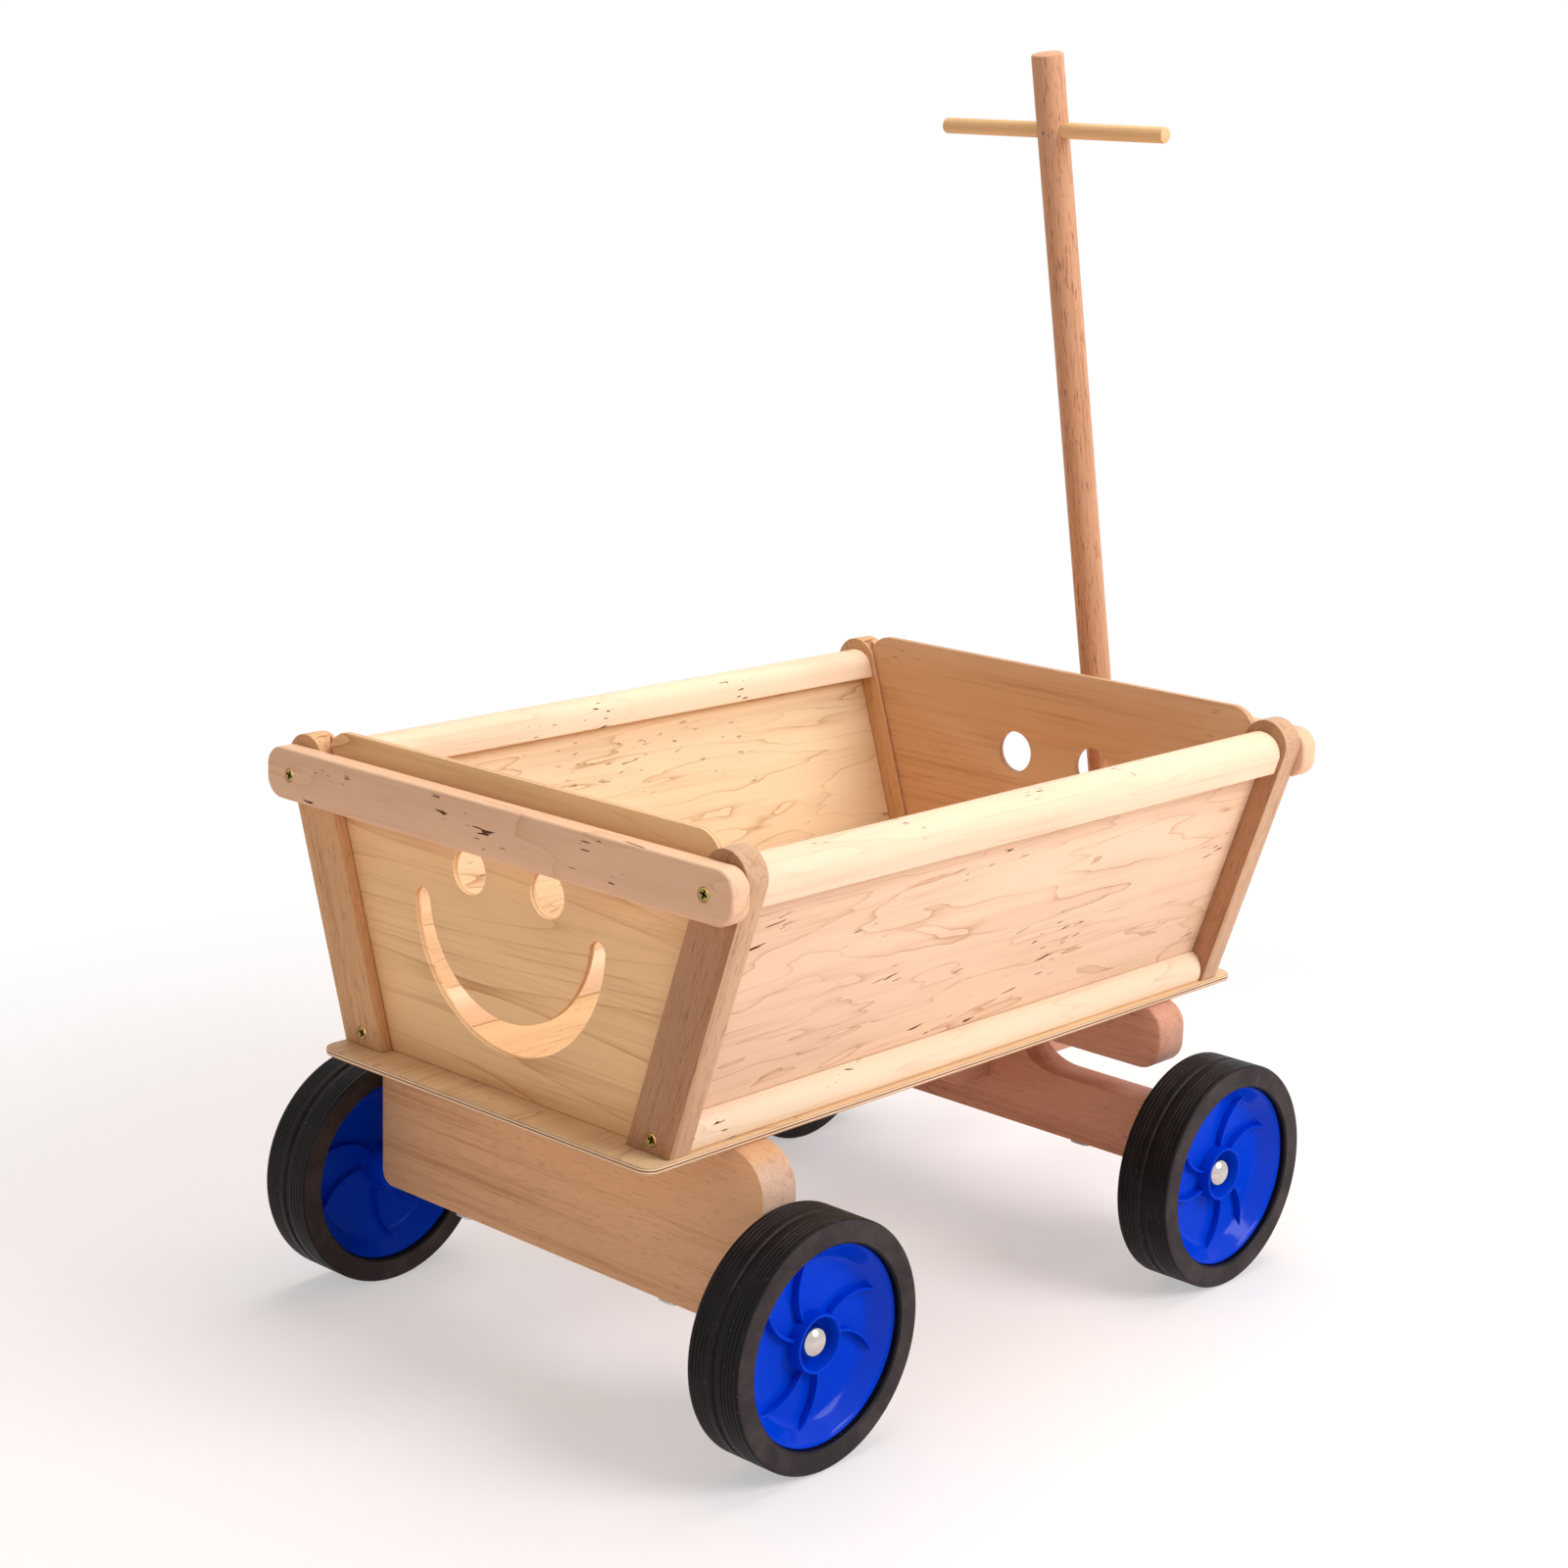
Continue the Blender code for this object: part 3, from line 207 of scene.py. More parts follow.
class Sheet:
    """A material that is written as expressions."""

    def __init__(self, name, roughness=0.5, metallic=0.0, coat=0.0, coat_roughness=0.1, specular=0.5):
        self.material = bpy.data.materials.new(name)
        self.material.use_nodes = True
        self.tree = self.material.node_tree
        self.shader = self.tree.nodes["Principled BSDF"]
        self.shader.inputs["Roughness"].default_value = roughness
        self.shader.inputs["Metallic"].default_value = metallic
        self.shader.inputs["Coat Weight"].default_value = coat
        self.shader.inputs["Coat Roughness"].default_value = coat_roughness
        self.shader.inputs["Specular IOR Level"].default_value = specular

    def add(self, kind, settings=None, links=None):
        """A node of one kind, with its settings first and then its sockets."""
        node = self.tree.nodes.new(kind)
        for key, value in (settings or {}).items():
            setattr(node, key, value)
        for key, value in (links or {}).items():
            self.join(value, node.inputs[key])
        return node

    def join(self, value, socket):
        """Link a value to a socket, or set the socket to it."""
        if isinstance(value, Wire):
            self.tree.links.new(value.socket, socket)
        elif isinstance(value, bpy.types.NodeSocket):
            self.tree.links.new(value, socket)
        elif hasattr(value, "__len__") and socket.type == "RGBA":
            socket.default_value = (*tuple(value)[:3], 1.0)
        else:
            socket.default_value = value

    def place(self, turn=(0.0, 0.0, 0.0), shift=(0.0, 0.0, 0.0)):
        """Object coordinates, turned and then moved by a Mapping node."""
        spot = self.add("ShaderNodeTexCoord").outputs["Object"]
        return self.add("ShaderNodeMapping", {"vector_type": "POINT"},
                        {"Vector": spot, "Location": shift, "Rotation": turn}).outputs[0]

    def stretch(self, spot, scale):
        return self.add("ShaderNodeVectorMath", {"operation": "MULTIPLY"}, {0: spot, 1: scale}).outputs[0]

    def split(self, spot):
        parts = self.add("ShaderNodeSeparateXYZ", None, {0: spot}).outputs
        return [Wire(self, part) for part in parts]

    def facing(self, axis):
        """How squarely a surface looks along an axis of its piece, from 0 to 1."""
        return abs(self.split(self.add("ShaderNodeTexCoord").outputs["Normal"])[axis])

    def noise(self, spot, scale, detail=2.0, rough=0.5, warp=0.0):
        node = self.add("ShaderNodeTexNoise", None, {"Vector": self.stretch(spot, scale), "Scale": 1.0,
                        "Detail": detail, "Roughness": rough, "Distortion": warp})
        return Wire(self, node.outputs[0])

    def mix(self, share, first, second, blend="MIX"):
        node = self.add("ShaderNodeMix", {"data_type": "RGBA", "blend_type": blend},
                        {0: share, 6: first, 7: second})
        return node.outputs[2]

    def bump(self, height, strength, depth):
        node = self.add("ShaderNodeBump", None, {"Strength": strength, "Distance": depth, "Height": height})
        self.join(node.outputs[0], self.shader.inputs["Normal"])

    def paint(self, colour, roughness=None):
        self.join(colour, self.shader.inputs["Base Color"])
        if roughness is not None:
            self.join(roughness, self.shader.inputs["Roughness"])
        return self.material


FLECK = (0.080, 0.014, 0.001)
PALE_PLY = (0.90, 0.68, 0.47)
DARK_PLY = (0.26, 0.12, 0.065)
GLUE_LINE = (0.30, 0.14, 0.075)
PANEL_CORE = (0.46, 0.22, 0.11)
PANEL_GLUE = (0.38, 0.18, 0.09)


def shade(colour, factor):
    """A colour made lighter or darker."""
    return tuple(min(1.0, part * factor) for part in colour)


def wood(name, colour, turn=(0.0, 0.0, 0.0), seed=0.0, figure=0.3, rings=12.0,
         ring_scale=(2.0, 10.0, 10.0), ragged=3.0, fibre=0.25, pores=0.0, flecks=0.5,
         dash=(26.0, 330.0), plies=None, faces=None):
    """Lacquered wood, with its grain along X after the turn.

    figure is the strength of the veneer's contour lines, rings sets how many there are, ring_scale how
    they bend and ragged how much they waver. fibre is the strength of the fine grain, pores that of short
    beech pores and flecks that of brown dashes, whose scale along and across the grain is dash. plies adds
    the layers that show along a plywood board's edges. faces is an axis and the tint of the faces that
    look along it: painted light and shade, such as the posts' darker front and rear faces and the beam's
    end grain made paler and cooler like its lit ends.
    """
    sheet = Sheet(name, roughness=0.42, coat=0.03, coat_roughness=0.28, specular=0.13)
    spot = sheet.place(turn, (seed, seed * 0.7, seed * 0.3))
    wander = sheet.noise(spot, ring_scale, ragged, 0.52, 0.3)
    saw = (wander * rings) % 1.0
    fade = sheet.noise(spot, (6.0, 14.0, 14.0), 1.0).above(0.48, 0.22)
    lines = saw ** 14.0 * (fade * 0.8 + 0.2)
    fine = sheet.noise(spot, (7.0, 420.0, 420.0), 3.0, 0.6)
    broad = sheet.noise(spot, (3.0, 90.0, 90.0), 2.0, 0.55)
    soft = sheet.noise(spot, (5.0, 22.0, 22.0), 2.0, 0.5)
    dark = (colour[0] * 0.64, colour[1] * 0.48, colour[2] * 0.36)
    share = lines * figure + saw * figure * 0.07
    share = share + (fine - 0.5 + broad - 0.5) * fibre + (soft - 0.5) * 0.30
    tone = sheet.mix(share.math("MAXIMUM", share, 0.0), colour, dark)
    tone = sheet.mix((0.5 - soft).above(0.06, 0.14) * 0.4, tone, shade(colour, 1.10))
    if pores:
        short = sheet.noise(spot, (70.0, 900.0, 900.0), 1.0, 0.5).above(0.64, 0.05)
        tone = sheet.mix(short * pores, tone, shade(dark, 0.72))
    if flecks:
        slant = sheet.place((turn[0], turn[1] + 0.12, turn[2] + 0.12), (seed, seed, seed))
        mark = sheet.noise(slant, (dash[0], dash[1], dash[1]), 1.5, 0.5, 0.25).above(0.685, 0.018)
        patch = sheet.noise(spot, (8.0, 15.0, 15.0), 1.0, 0.5).above(0.575, 0.04)
        tone = sheet.mix(mark * patch * flecks, tone, FLECK)
    # Painted light and shade: faces that look along the given axis get their colour multiplied by the tint.
    if faces:
        axis, other = faces
        tone = sheet.mix(sheet.facing(axis).above(0.65, 0.25), tone, sheet.mix(1.0, tone, other, "MULTIPLY"))
    if plies:
        tone = plies(sheet, tone)
    sheet.bump(fine * 0.6 + saw * 0.4, 0.10, 0.0006)
    return sheet.paint(tone, 0.38 + fine * 0.16)


def floor_plies(sheet, tone):
    """Light and dark layers that show along the floor plate's edge."""
    height = sheet.split(sheet.place())[2]
    depth = abs(height - (FLOOR_LOW.z + FLOOR_HIGH.z) / 2) / (FLOOR_HIGH.z - FLOOR_LOW.z)
    core = 1.0 - depth.above(0.11, 0.015)
    pale = (1.0 - abs(depth - 0.20).above(0.075, 0.015)) * 0.75
    inner = sheet.mix(pale, tone, PALE_PLY)
    inner = sheet.mix(core * 0.9, inner, DARK_PLY)
    glue = (1.0 - abs(depth - 0.33).above(0.045, 0.015)) * 0.8
    return sheet.mix(glue, inner, GLUE_LINE)


def panel_plies(sheet, tone):
    """Layers that show in the end panels' cut-outs and along their tops."""
    along = sheet.split(sheet.place())[0]
    face = FRONT_FACE - BOX_MIDDLE - sizes().panel_recess - sizes().panel / 2
    depth = abs(abs(along - BOX_MIDDLE) - face) / sizes().panel
    core = 1.0 - depth.above(0.17, 0.02)
    glue = (1.0 - abs(depth - 0.33).above(0.03, 0.015)) * 0.5
    inner = sheet.mix(core * 0.6, tone, PANEL_CORE)
    return sheet.mix(glue, inner, PANEL_GLUE)


def make_finishes():
    """Every finish of the cart, by name."""
    c = colours()
    lean = sizes().lean
    quarter = math.pi / 2
    across = (0.0, 0.0, quarter)
    veneer = {"figure": 1.2, "rings": 14.0, "ring_scale": (1.6, 10.0, 10.0), "ragged": 4.5, "fibre": 0.7}
    plank = {"figure": 0.3, "rings": 16.0, "ring_scale": (0.5, 12.0, 12.0), "pores": 0.3}
    post = {"figure": 0.25, "ring_scale": (0.6, 22.0, 22.0), "fibre": 1.5, "pores": 0.5, "flecks": 0.0}
    made = {
        "side_birch": wood("peach_birch", c.side_birch, seed=0.37, flecks=1.0, **veneer),
        "left_birch": wood("yellow_birch", c.left_birch, seed=1.13, flecks=0.5, **veneer),
        "rear_birch": wood("tan_birch", c.end_birch, across, 1.9, figure=1.0, rings=14.0,
                           ring_scale=(1.0, 8.0, 8.0), ragged=1.5, fibre=1.1, flecks=0.0, plies=panel_plies),
        # Painted shade: the front end panel's darker, browner birch stands for the shade on its inner face.
        "front_birch": wood("painted_shade_brown_birch", c.front_birch, across, 2.6, figure=0.4, rings=16.0,
                            ring_scale=(0.6, 14.0, 14.0), fibre=1.5, flecks=0.3, plies=panel_plies),
        "floor_birch": wood("floor_birch", c.floor_birch, seed=2.2, figure=0.8, fibre=0.8, flecks=0.3,
                            plies=floor_plies),
        "side_rail": wood("cream_birch", c.pale, seed=3.1, figure=0.40, rings=10.0,
                          ring_scale=(1.2, 16.0, 16.0), fibre=0.5, flecks=1.0, dash=(18.0, 420.0)),
        "end_rail": wood("grey_birch", c.grey_birch, across, 4.4, figure=0.55, rings=11.0, fibre=0.5,
                         flecks=1.0),
        # The beam's end faces, which look along Y, get a paler, cooler tint: partly the end grain's own tone
        # and partly painted light, for the look of the lit ends.
        "beam": wood("beam_beech", c.beam, across, 5.3, fibre=1.7, flecks=0.15,
                     faces=(1, (0.88, 0.98, 1.30)), **plank),
        # The bogie colour carries painted shade as well as the beech's tone.
        "bogie": wood("bogie_beech", c.bogie, across, 5.9, fibre=1.6, flecks=0.4, **plank),
        "tongue": wood("tongue_beech", c.bogie, seed=6.1, ring_scale=(0.5, 18.0, 18.0), fibre=1.6,
                       pores=0.3, flecks=0.2),
        "handle": wood("handle_wood", c.handle, across, 7.7, rings=6.0, ring_scale=(1.4, 40.0, 40.0),
                       fibre=1.0, flecks=0.2),
        "bar": wood("bar_beech", c.bar, (0.0, quarter - BAR_LEAN, 0.0), 8.2, rings=9.0,
                    ring_scale=(0.6, 34.0, 34.0), fibre=1.6, pores=0.75, flecks=0.4),
        # Painted shade: the posts' front and rear faces, which look along X, are darkened by the tint, more
        # on the right posts, whose side faces keep the paler lit colour as painted light.
        "post_left": wood("post_beech_left", c.left_beech, (lean, quarter, 0.0), 10.4,
                          faces=(0, (0.91, 0.90, 0.87)), **post),
        "post_right": wood("post_beech_right", c.right_beech, (-lean, quarter, 0.0), 8.4,
                           faces=(0, (0.78, 0.66, 0.58)), **post),
    }
    made["rubber"] = rubber_finish(c.rubber)
    made["blue"] = plastic_finish(c.blue)
    made["brass"] = metal_finish("yellow_zinc", c.brass, 0.28, recess=True)
    made["steel"] = metal_finish("zinc_steel", c.steel, 0.36)
    made["nail"] = metal_finish("dark_nail", shade(c.steel, 0.3), 0.5)
    made["chrome"] = metal_finish("chrome", c.chrome, 0.10)
    return made


def rubber_finish(colour):
    """Solid black rubber with brown dust, more of it on the side walls than on the tread."""
    sheet = Sheet("black_rubber", roughness=0.6, specular=0.13)
    spot = sheet.place()
    dust = sheet.noise(spot, (38.0, 38.0, 38.0), 5.0, 0.6)
    grit = sheet.noise(spot, (900.0, 900.0, 900.0), 2.0, 0.6)
    wall = sheet.facing(1).above(0.8, 0.15)
    cover = dust.above(0.55, 0.2) * (wall * 0.30 + 0.06) + wall * 0.26
    tone = sheet.mix(cover, colour, (0.090, 0.066, 0.064))
    speck = sheet.noise(spot, (420.0, 420.0, 420.0), 0.0).above(0.82, 0.02) * 0.3
    sheet.bump(grit, 0.12, 0.0004)
    return sheet.paint(sheet.mix(speck, tone, (0.22, 0.19, 0.17)), 0.36 + dust * 0.16 + wall * 0.14)


def plastic_finish(colour):
    """Moulded plastic with a faint flow of the moulding, polished on the dish's wall."""
    sheet = Sheet("blue_plastic", roughness=0.28, specular=0.03, coat_roughness=0.10)
    spot = sheet.place()
    flow = sheet.noise(spot, (22.0, 22.0, 22.0), 2.0, 0.5)
    skin = sheet.noise(spot, (600.0, 600.0, 600.0), 2.0, 0.5)
    tone = sheet.mix(flow.above(0.5, 0.3) * 0.35, colour, (0.0, 0.034, 0.49))
    sheet.bump(skin + flow, 0.05, 0.0004)
    along, _, high = sheet.split(spot)
    reach = []
    for axle in (REAR_AXLE, FRONT_AXLE):
        ahead = along - axle.x
        above = high - axle.z
        reach.append(ahead * ahead + above * above)
    reach = reach[0].math("MINIMUM", reach[0], reach[1])
    wall = reach.above(0.0042, 0.0006) * (1.0 - reach.above(0.0059, 0.0001))
    sheet.join(wall * 0.22, sheet.shader.inputs["Coat Weight"])
    return sheet.paint(tone, 0.20 + skin * 0.12)


def metal_finish(name, colour, roughness, recess=False):
    """Plated metal with fine wear, and with painted shade where its mesh is marked as a recess."""
    sheet = Sheet(name, roughness=roughness, metallic=1.0)
    spot = sheet.place()
    wear = sheet.noise(spot, (160.0, 160.0, 160.0), 4.0, 0.6)
    tone = sheet.mix(wear.above(0.52, 0.15) * 0.35, colour, shade(colour, 0.72))
    if recess:
        # Painted shade: faces marked as a recess are darkened towards near black.
        mark = Wire(sheet, sheet.add("ShaderNodeAttribute", {"attribute_name": "recess"}).outputs["Fac"])
        tone = sheet.mix(mark * 0.95, tone, (0.025, 0.012, 0.010))
    sheet.bump(wear, 0.04, 0.0002)
    return sheet.paint(tone, roughness * 0.8 + wear * roughness * 0.4)


def only(piece):
    """Select one object and make it active."""
    bpy.ops.object.select_all(action="DESELECT")
    piece.select_set(True)
    bpy.context.view_layer.objects.active = piece


def edit(piece, action="SELECT"):
    """Enter edit mode with the whole piece selected, or none of it."""
    only(piece)
    bpy.ops.object.mode_set(mode="EDIT")
    bpy.ops.mesh.select_mode(type="VERT")
    bpy.ops.mesh.select_all(action=action)


def leave():
    bpy.ops.object.mode_set(mode="OBJECT")


def apply(piece, kind, **settings):
    """Add a modifier to a piece and apply it."""
    only(piece)
    modifier = piece.modifiers.new(kind.lower(), kind)
    for key, value in settings.items():
        setattr(modifier, key, value)
    bpy.ops.object.modifier_apply(modifier=modifier.name)


def trace(name, points, filled):
    """A circle whose points are moved onto an outline."""
    bpy.ops.object.select_all(action="DESELECT")
    bpy.ops.mesh.primitive_circle_add(vertices=len(points), fill_type="NGON" if filled else "NOTHING")
    piece = bpy.context.object
    piece.name = name
    for vertex, point in zip(piece.data.vertices, points):
        vertex.co = point
    return piece


AXES = {
    "X": lambda point, depth: (depth, point[0], point[1]),
    "Y": lambda point, depth: (point[0], depth, point[1]),
    "Z": lambda point, depth: (point[0], point[1], depth),
}
TURNS = {
    "X": (0.0, math.pi / 2, 0.0),
    "Y": (-math.pi / 2, 0.0, 0.0),
    "-Y": (math.pi / 2, 0.0, 0.0),
    "-X": (0.0, -math.pi / 2, 0.0),
    "Z": (0.0, 0.0, 0.0),
}


def board(name, outline, near, far, axis="X", edge=0.0, segments=3, sharp=30.0):
    """An outline extruded into a board, with its edges rounded over."""
    spot = AXES[axis]
    piece = trace(name, [spot(point, near) for point in outline], True)
    edit(piece)
    travel = spot((0.0, 0.0), far - near)
    bpy.ops.mesh.extrude_region_move(TRANSFORM_OT_translate={"value": travel})
    bpy.ops.mesh.select_all(action="SELECT")
    bpy.ops.mesh.normals_make_consistent(inside=False)
    leave()
    if edge:
        round_over(piece, edge, segments, sharp)
    return piece


def round_over(piece, edge, segments=3, sharp=30.0):
    """Round a piece's sharp edges."""
    apply(piece, "BEVEL", width=edge, segments=segments, limit_method="ANGLE",
          angle_limit=math.radians(sharp), harden_normals=False)
    smooth(piece)


def smooth(piece, angle=38.0):
    only(piece)
    bpy.ops.object.shade_smooth_by_angle(angle=math.radians(angle))


def turned(name, profile, steps=64, axis="Z"):
    """A closed profile of (radius, along) turned about an axis through the origin."""
    piece = trace(name, [(radius, 0.0, along) for radius, along in profile], False)
    edit(piece, "DESELECT")
    leave()
    for vertex in piece.data.vertices:
        vertex.select = vertex.co.x < 1e-7
    bpy.ops.object.mode_set(mode="EDIT")
    bpy.ops.mesh.delete(type="EDGE")
    leave()
    apply(piece, "SCREW", axis="Z", angle=2 * math.pi, steps=steps, render_steps=steps,
          use_merge_vertices=True, merge_threshold=1e-6)
    piece.rotation_euler = TURNS[axis]
    settle(piece)
    clean(piece, 1e-7)
    smooth(piece)
    return piece


def drill(radius, low, high, steps=28, axis="Z"):
    """A round tool for a bore about an axis through the origin."""
    return turned("bore", [(0.0, low), (radius, low), (radius, high), (0.0, high)], steps, axis)


def cut(piece, tool, operation="DIFFERENCE"):
    """Cut a tool out of a piece, or join it on, and remove the tool."""
    apply(piece, "BOOLEAN", object=tool, operation=operation, solver="EXACT")
    bpy.data.objects.remove(tool, do_unlink=True)


def clean(piece, least=1e-6):
    """Merge doubled points, dissolve what has no area and turn the faces outwards."""
    edit(piece)
    bpy.ops.mesh.remove_doubles(threshold=1e-6)
    bpy.ops.mesh.dissolve_degenerate(threshold=least)
    bpy.ops.mesh.select_all(action="SELECT")
    bpy.ops.mesh.normals_make_consistent(inside=False)
    leave()


def settle(piece):
    """Put an object's place and turn into its mesh."""
    only(piece)
    bpy.ops.object.transform_apply(location=True, rotation=True, scale=True)


def shift(piece, offset, turn=0.0, lean=0.0):
    """Move a piece, after a lean about Y or a turn about Z, and keep its object at the origin."""
    piece.location = offset
    piece.rotation_euler = (0.0, lean, turn)
    settle(piece)
    return piece


def copy(piece, name, offset=(0.0, 0.0, 0.0), turn=0.0):
    """A copy with a mesh of its own, moved and turned about Z."""
    only(piece)
    bpy.ops.object.duplicate()
    twin = bpy.context.object
    twin.name = name
    return shift(twin, offset, turn)


def dress(piece, node, material):
    """Give a piece its finish and let it stand for a CAD node."""
    piece.data.materials.clear()
    piece.data.materials.append(material)
    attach(piece, BODY_OF[node])
    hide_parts(node)


def arc(centre, radius, start, stop, steps, squash=1.0):
    """Points along an arc in degrees, both ends included."""
    points = []
    for step in range(steps + 1):
        angle = math.radians(start + (stop - start) * step / steps)
        points.append((centre[0] + radius * math.cos(angle), centre[1] + squash * radius * math.sin(angle)))
    return points


def rounded(low, high, radii, steps=10):
    """A rectangle with round corners: lower left, lower right, upper right, upper left."""
    corners = [(low[0], low[1], 1, 1, 180), (high[0], low[1], -1, 1, 270),
               (high[0], high[1], -1, -1, 0), (low[0], high[1], 1, -1, 90)]
    outline = []
    for (across, up, inward, upward, start), radius in zip(corners, radii):
        if radius:
            outline += arc((across + inward * radius, up + upward * radius), radius, start, start + 90, steps)
        else:
            outline.append((across, up))
    return outline


def leaning(across, along, side=1):
    """A point of a side: across its thickness outwards, and along the lean upwards."""
    s = sizes()
    y = s.foot_y + along * math.sin(s.lean) + across * math.cos(s.lean)
    return (side * y, FLOOR_HIGH.z + along * math.cos(s.lean) - across * math.sin(s.lean))


def on_floor(across):
    """How far along the lean a point lies that stands just above the floor plate."""
    return (sizes().fit + across * math.sin(sizes().lean)) / math.cos(sizes().lean)


def post_round():
    """Where along the lean the posts' round tops have their middle."""
    s = sizes()
    return (s.post_top - s.post_width / 2 - FLOOR_HIGH.z) / math.cos(s.lean)


class CART_OT_floor(bpy.types.Operator):
    """Build the plywood floor plate with its rounded edge"""
    bl_idname = "cart.floor"
    bl_label = "Floor plate"

    def execute(self, context):
        outline = rounded(FLOOR_LOW, FLOOR_HIGH, [0.012] * 4, 12)
        plate = board("floor_board", outline, FLOOR_LOW.z, FLOOR_HIGH.z, "Z", edge=0.0016, segments=3)
        dress(plate, "floor_plate", FINISH["floor_birch"])
        return {"FINISHED"}


class CART_OT_sides(bpy.types.Operator):
    """Build the side panels with their foot rails and top rails"""
    bl_idname = "cart.sides"
    bl_label = "Sides"

    def execute(self, context):
        s = sizes()
        for name, side in zip(SIDES, (1, -1)):
            low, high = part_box("side_panel_" + name)
            ends = (low.x, high.x)
            slot = s.panel / 2 + s.fit
            top = post_round() + s.post_width / 2 - s.top_rail_drop
            foot = top - s.top_rail_height
            half = s.top_rail_width / 2
            groove = foot + s.rail_groove
            section = [(-half, foot), (-slot, foot), (-slot, groove), (slot, groove), (slot, foot),
                       (half, foot)]
            crown = 0.017
            section += arc((0.0, top - crown), half, 0, 180, 24, crown / half)
            outline = [leaning(*point, side) for point in section]
            rail = board("top_rail_" + name, outline, *ends, edge=0.0010)
            dress(rail, "side_top_rail_" + name, FINISH["side_rail"])

            half = s.foot_rail_width / 2
            rise = s.foot_rail_height
            section = [(-half, on_floor(-half)), (half, on_floor(half))]
            crown = 0.019
            side_arc = arc((0.0, rise - crown), half, 0, 80, 14, crown / half)
            section += side_arc + [(slot, rise - s.rail_groove), (-slot, rise - s.rail_groove)]
            section += [(-across, along) for across, along in reversed(side_arc)]
            outline = [leaning(*point, side) for point in section]
            rail = board("foot_rail_" + name, outline, *ends, edge=0.0008)
            dress(rail, "side_foot_rail_" + name, FINISH["side_rail"])

            thin = s.panel / 2
            bottom = rise - s.rail_groove + s.fit
            upper = foot + s.rail_groove - s.fit
            outline = [leaning(*point, side) for point in
                       [(-thin, bottom), (thin, bottom), (thin, upper), (-thin, upper)]]
            panel = board("side_board_" + name, outline, *ends, edge=0.0004, segments=2)
            dress(panel, "side_panel_" + name, FINISH["left_birch" if side > 0 else "side_birch"])
        return {"FINISHED"}


def mouth_outline():
    """The crescent between two arcs, with small round tips."""
    tip = 0.379
    lower_height, lower_radius = 0.3833, 0.109
    upper_height, upper_radius = 0.3927, 0.0923
    outer = math.degrees(math.asin((tip - lower_height) / lower_radius))
    inner = math.degrees(math.asin((tip - upper_height) / upper_radius))
    lower = arc((0.0, lower_height), lower_radius, -180 - outer, outer, 64)
    upper = arc((0.0, upper_height), upper_radius, inner, -180 - inner, 64)
    half = (lower[-1][0] - upper[0][0]) / 2
    right = arc((upper[0][0] + half, tip), half, 0, 180, 12)[1:-1]
    left = [(-y, z) for y, z in reversed(right)]
    return lower + right + upper + left


def panel_outline():
    """An end panel's outline, from its foot in the posts' grooves to its round shoulders."""
    s = sizes()
    edge = -s.post_width / 2 + s.post_groove - s.fit
    low = leaning(edge, on_floor(edge))
    reach = s.panel_shoulder / math.tan(math.radians(45) - s.lean / 2)
    corner = low[0] + (s.panel_top - low[1]) * math.tan(s.lean)
    centre = (corner - reach, s.panel_top - s.panel_shoulder)
    half = [low] + arc(centre, s.panel_shoulder, -math.degrees(s.lean), 90, 20)
    return half + [(-y, z) for y, z in reversed(half)]


class CART_OT_ends(bpy.types.Operator):
    """Build the end panels with their cut-outs, the corner posts and the end rails"""
    bl_idname = "cart.ends"
    bl_label = "Ends"

    def execute(self, context):
        s = sizes()
        for end in ENDS:
            low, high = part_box(end + "_end_panel")
            panel = board(end + "_smile_panel", panel_outline(), low.x, high.x)
            shift_y = s.face_shift if end == "rear" else -s.face_shift
            holes = [arc((side * s.eye_spacing / 2, s.eye_height), s.eye / 2, 0, 360, 48)[:-1]
                     for side in (1, -1)]
            if end == "rear":
                holes.append(mouth_outline())
            for hole in holes:
                outline = [(y + shift_y, z) for y, z in hole]
                cut(panel, board("hole", outline, low.x - PAST, high.x + PAST))
            round_over(panel, s.fine_edge, 2, 50)
            dress(panel, end + "_end_panel", FINISH[end + "_birch"])
            low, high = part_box(end + "_end_rail")
            outline = rounded((low.y, low.z), (high.y, high.z), [0.017] * 4, 12)
            rail = board(end + "_rail_board", outline, low.x, high.x, edge=0.0028, segments=4)
            for name in SIDES:
                countersink(rail, f"rail_screw_{end}_{name}", end)
            smooth(rail)
            dress(rail, end + "_end_rail", FINISH["end_rail"])
            for name, side in zip(SIDES, (1, -1)):
                self.post(end, name, side)
        return {"FINISHED"}

    def post(self, end, name, side):
        s = sizes()
        node = f"corner_post_{end}_{name}"
        low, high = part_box(node)
        half = s.post_width / 2
        section = [(-half, on_floor(-half)), (half, on_floor(half))]
        section += arc((0.0, post_round()), half, 0, 180, 28)
        outline = [leaning(*point, side) for point in section]
        post = board(f"{end}_post_{name}", outline, low.x, high.x)
        foot = on_floor(-half) - PAST
        top = post_round() + half + PAST
        depth = s.post_groove - half
        groove = [leaning(*point, side) for point in
                  [(-half - PAST, foot), (depth, foot), (depth, top), (-half - PAST, top)]]
        panel_low, panel_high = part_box(end + "_end_panel")
        cut(post, board("groove", groove, panel_low.x - s.fit, panel_high.x + s.fit))
        round_over(post, 0.0014, 3, 40)
        for kind in ("rail", "foot"):
            countersink(post, f"{kind}_screw_{end}_{name}", end)
        smooth(post)
        dress(post, node, FINISH["post_" + name])


def screw_place(node, end):
    """Where a screw's head lies, and the screw's turn about Z."""
    low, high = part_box(node)
    spot = middle(node)
    spot.x = low.x if end == "rear" else high.x
    return spot, 0.0 if end == "rear" else math.pi


def screw_length(node):
    low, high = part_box(node)
    return high.x - low.x


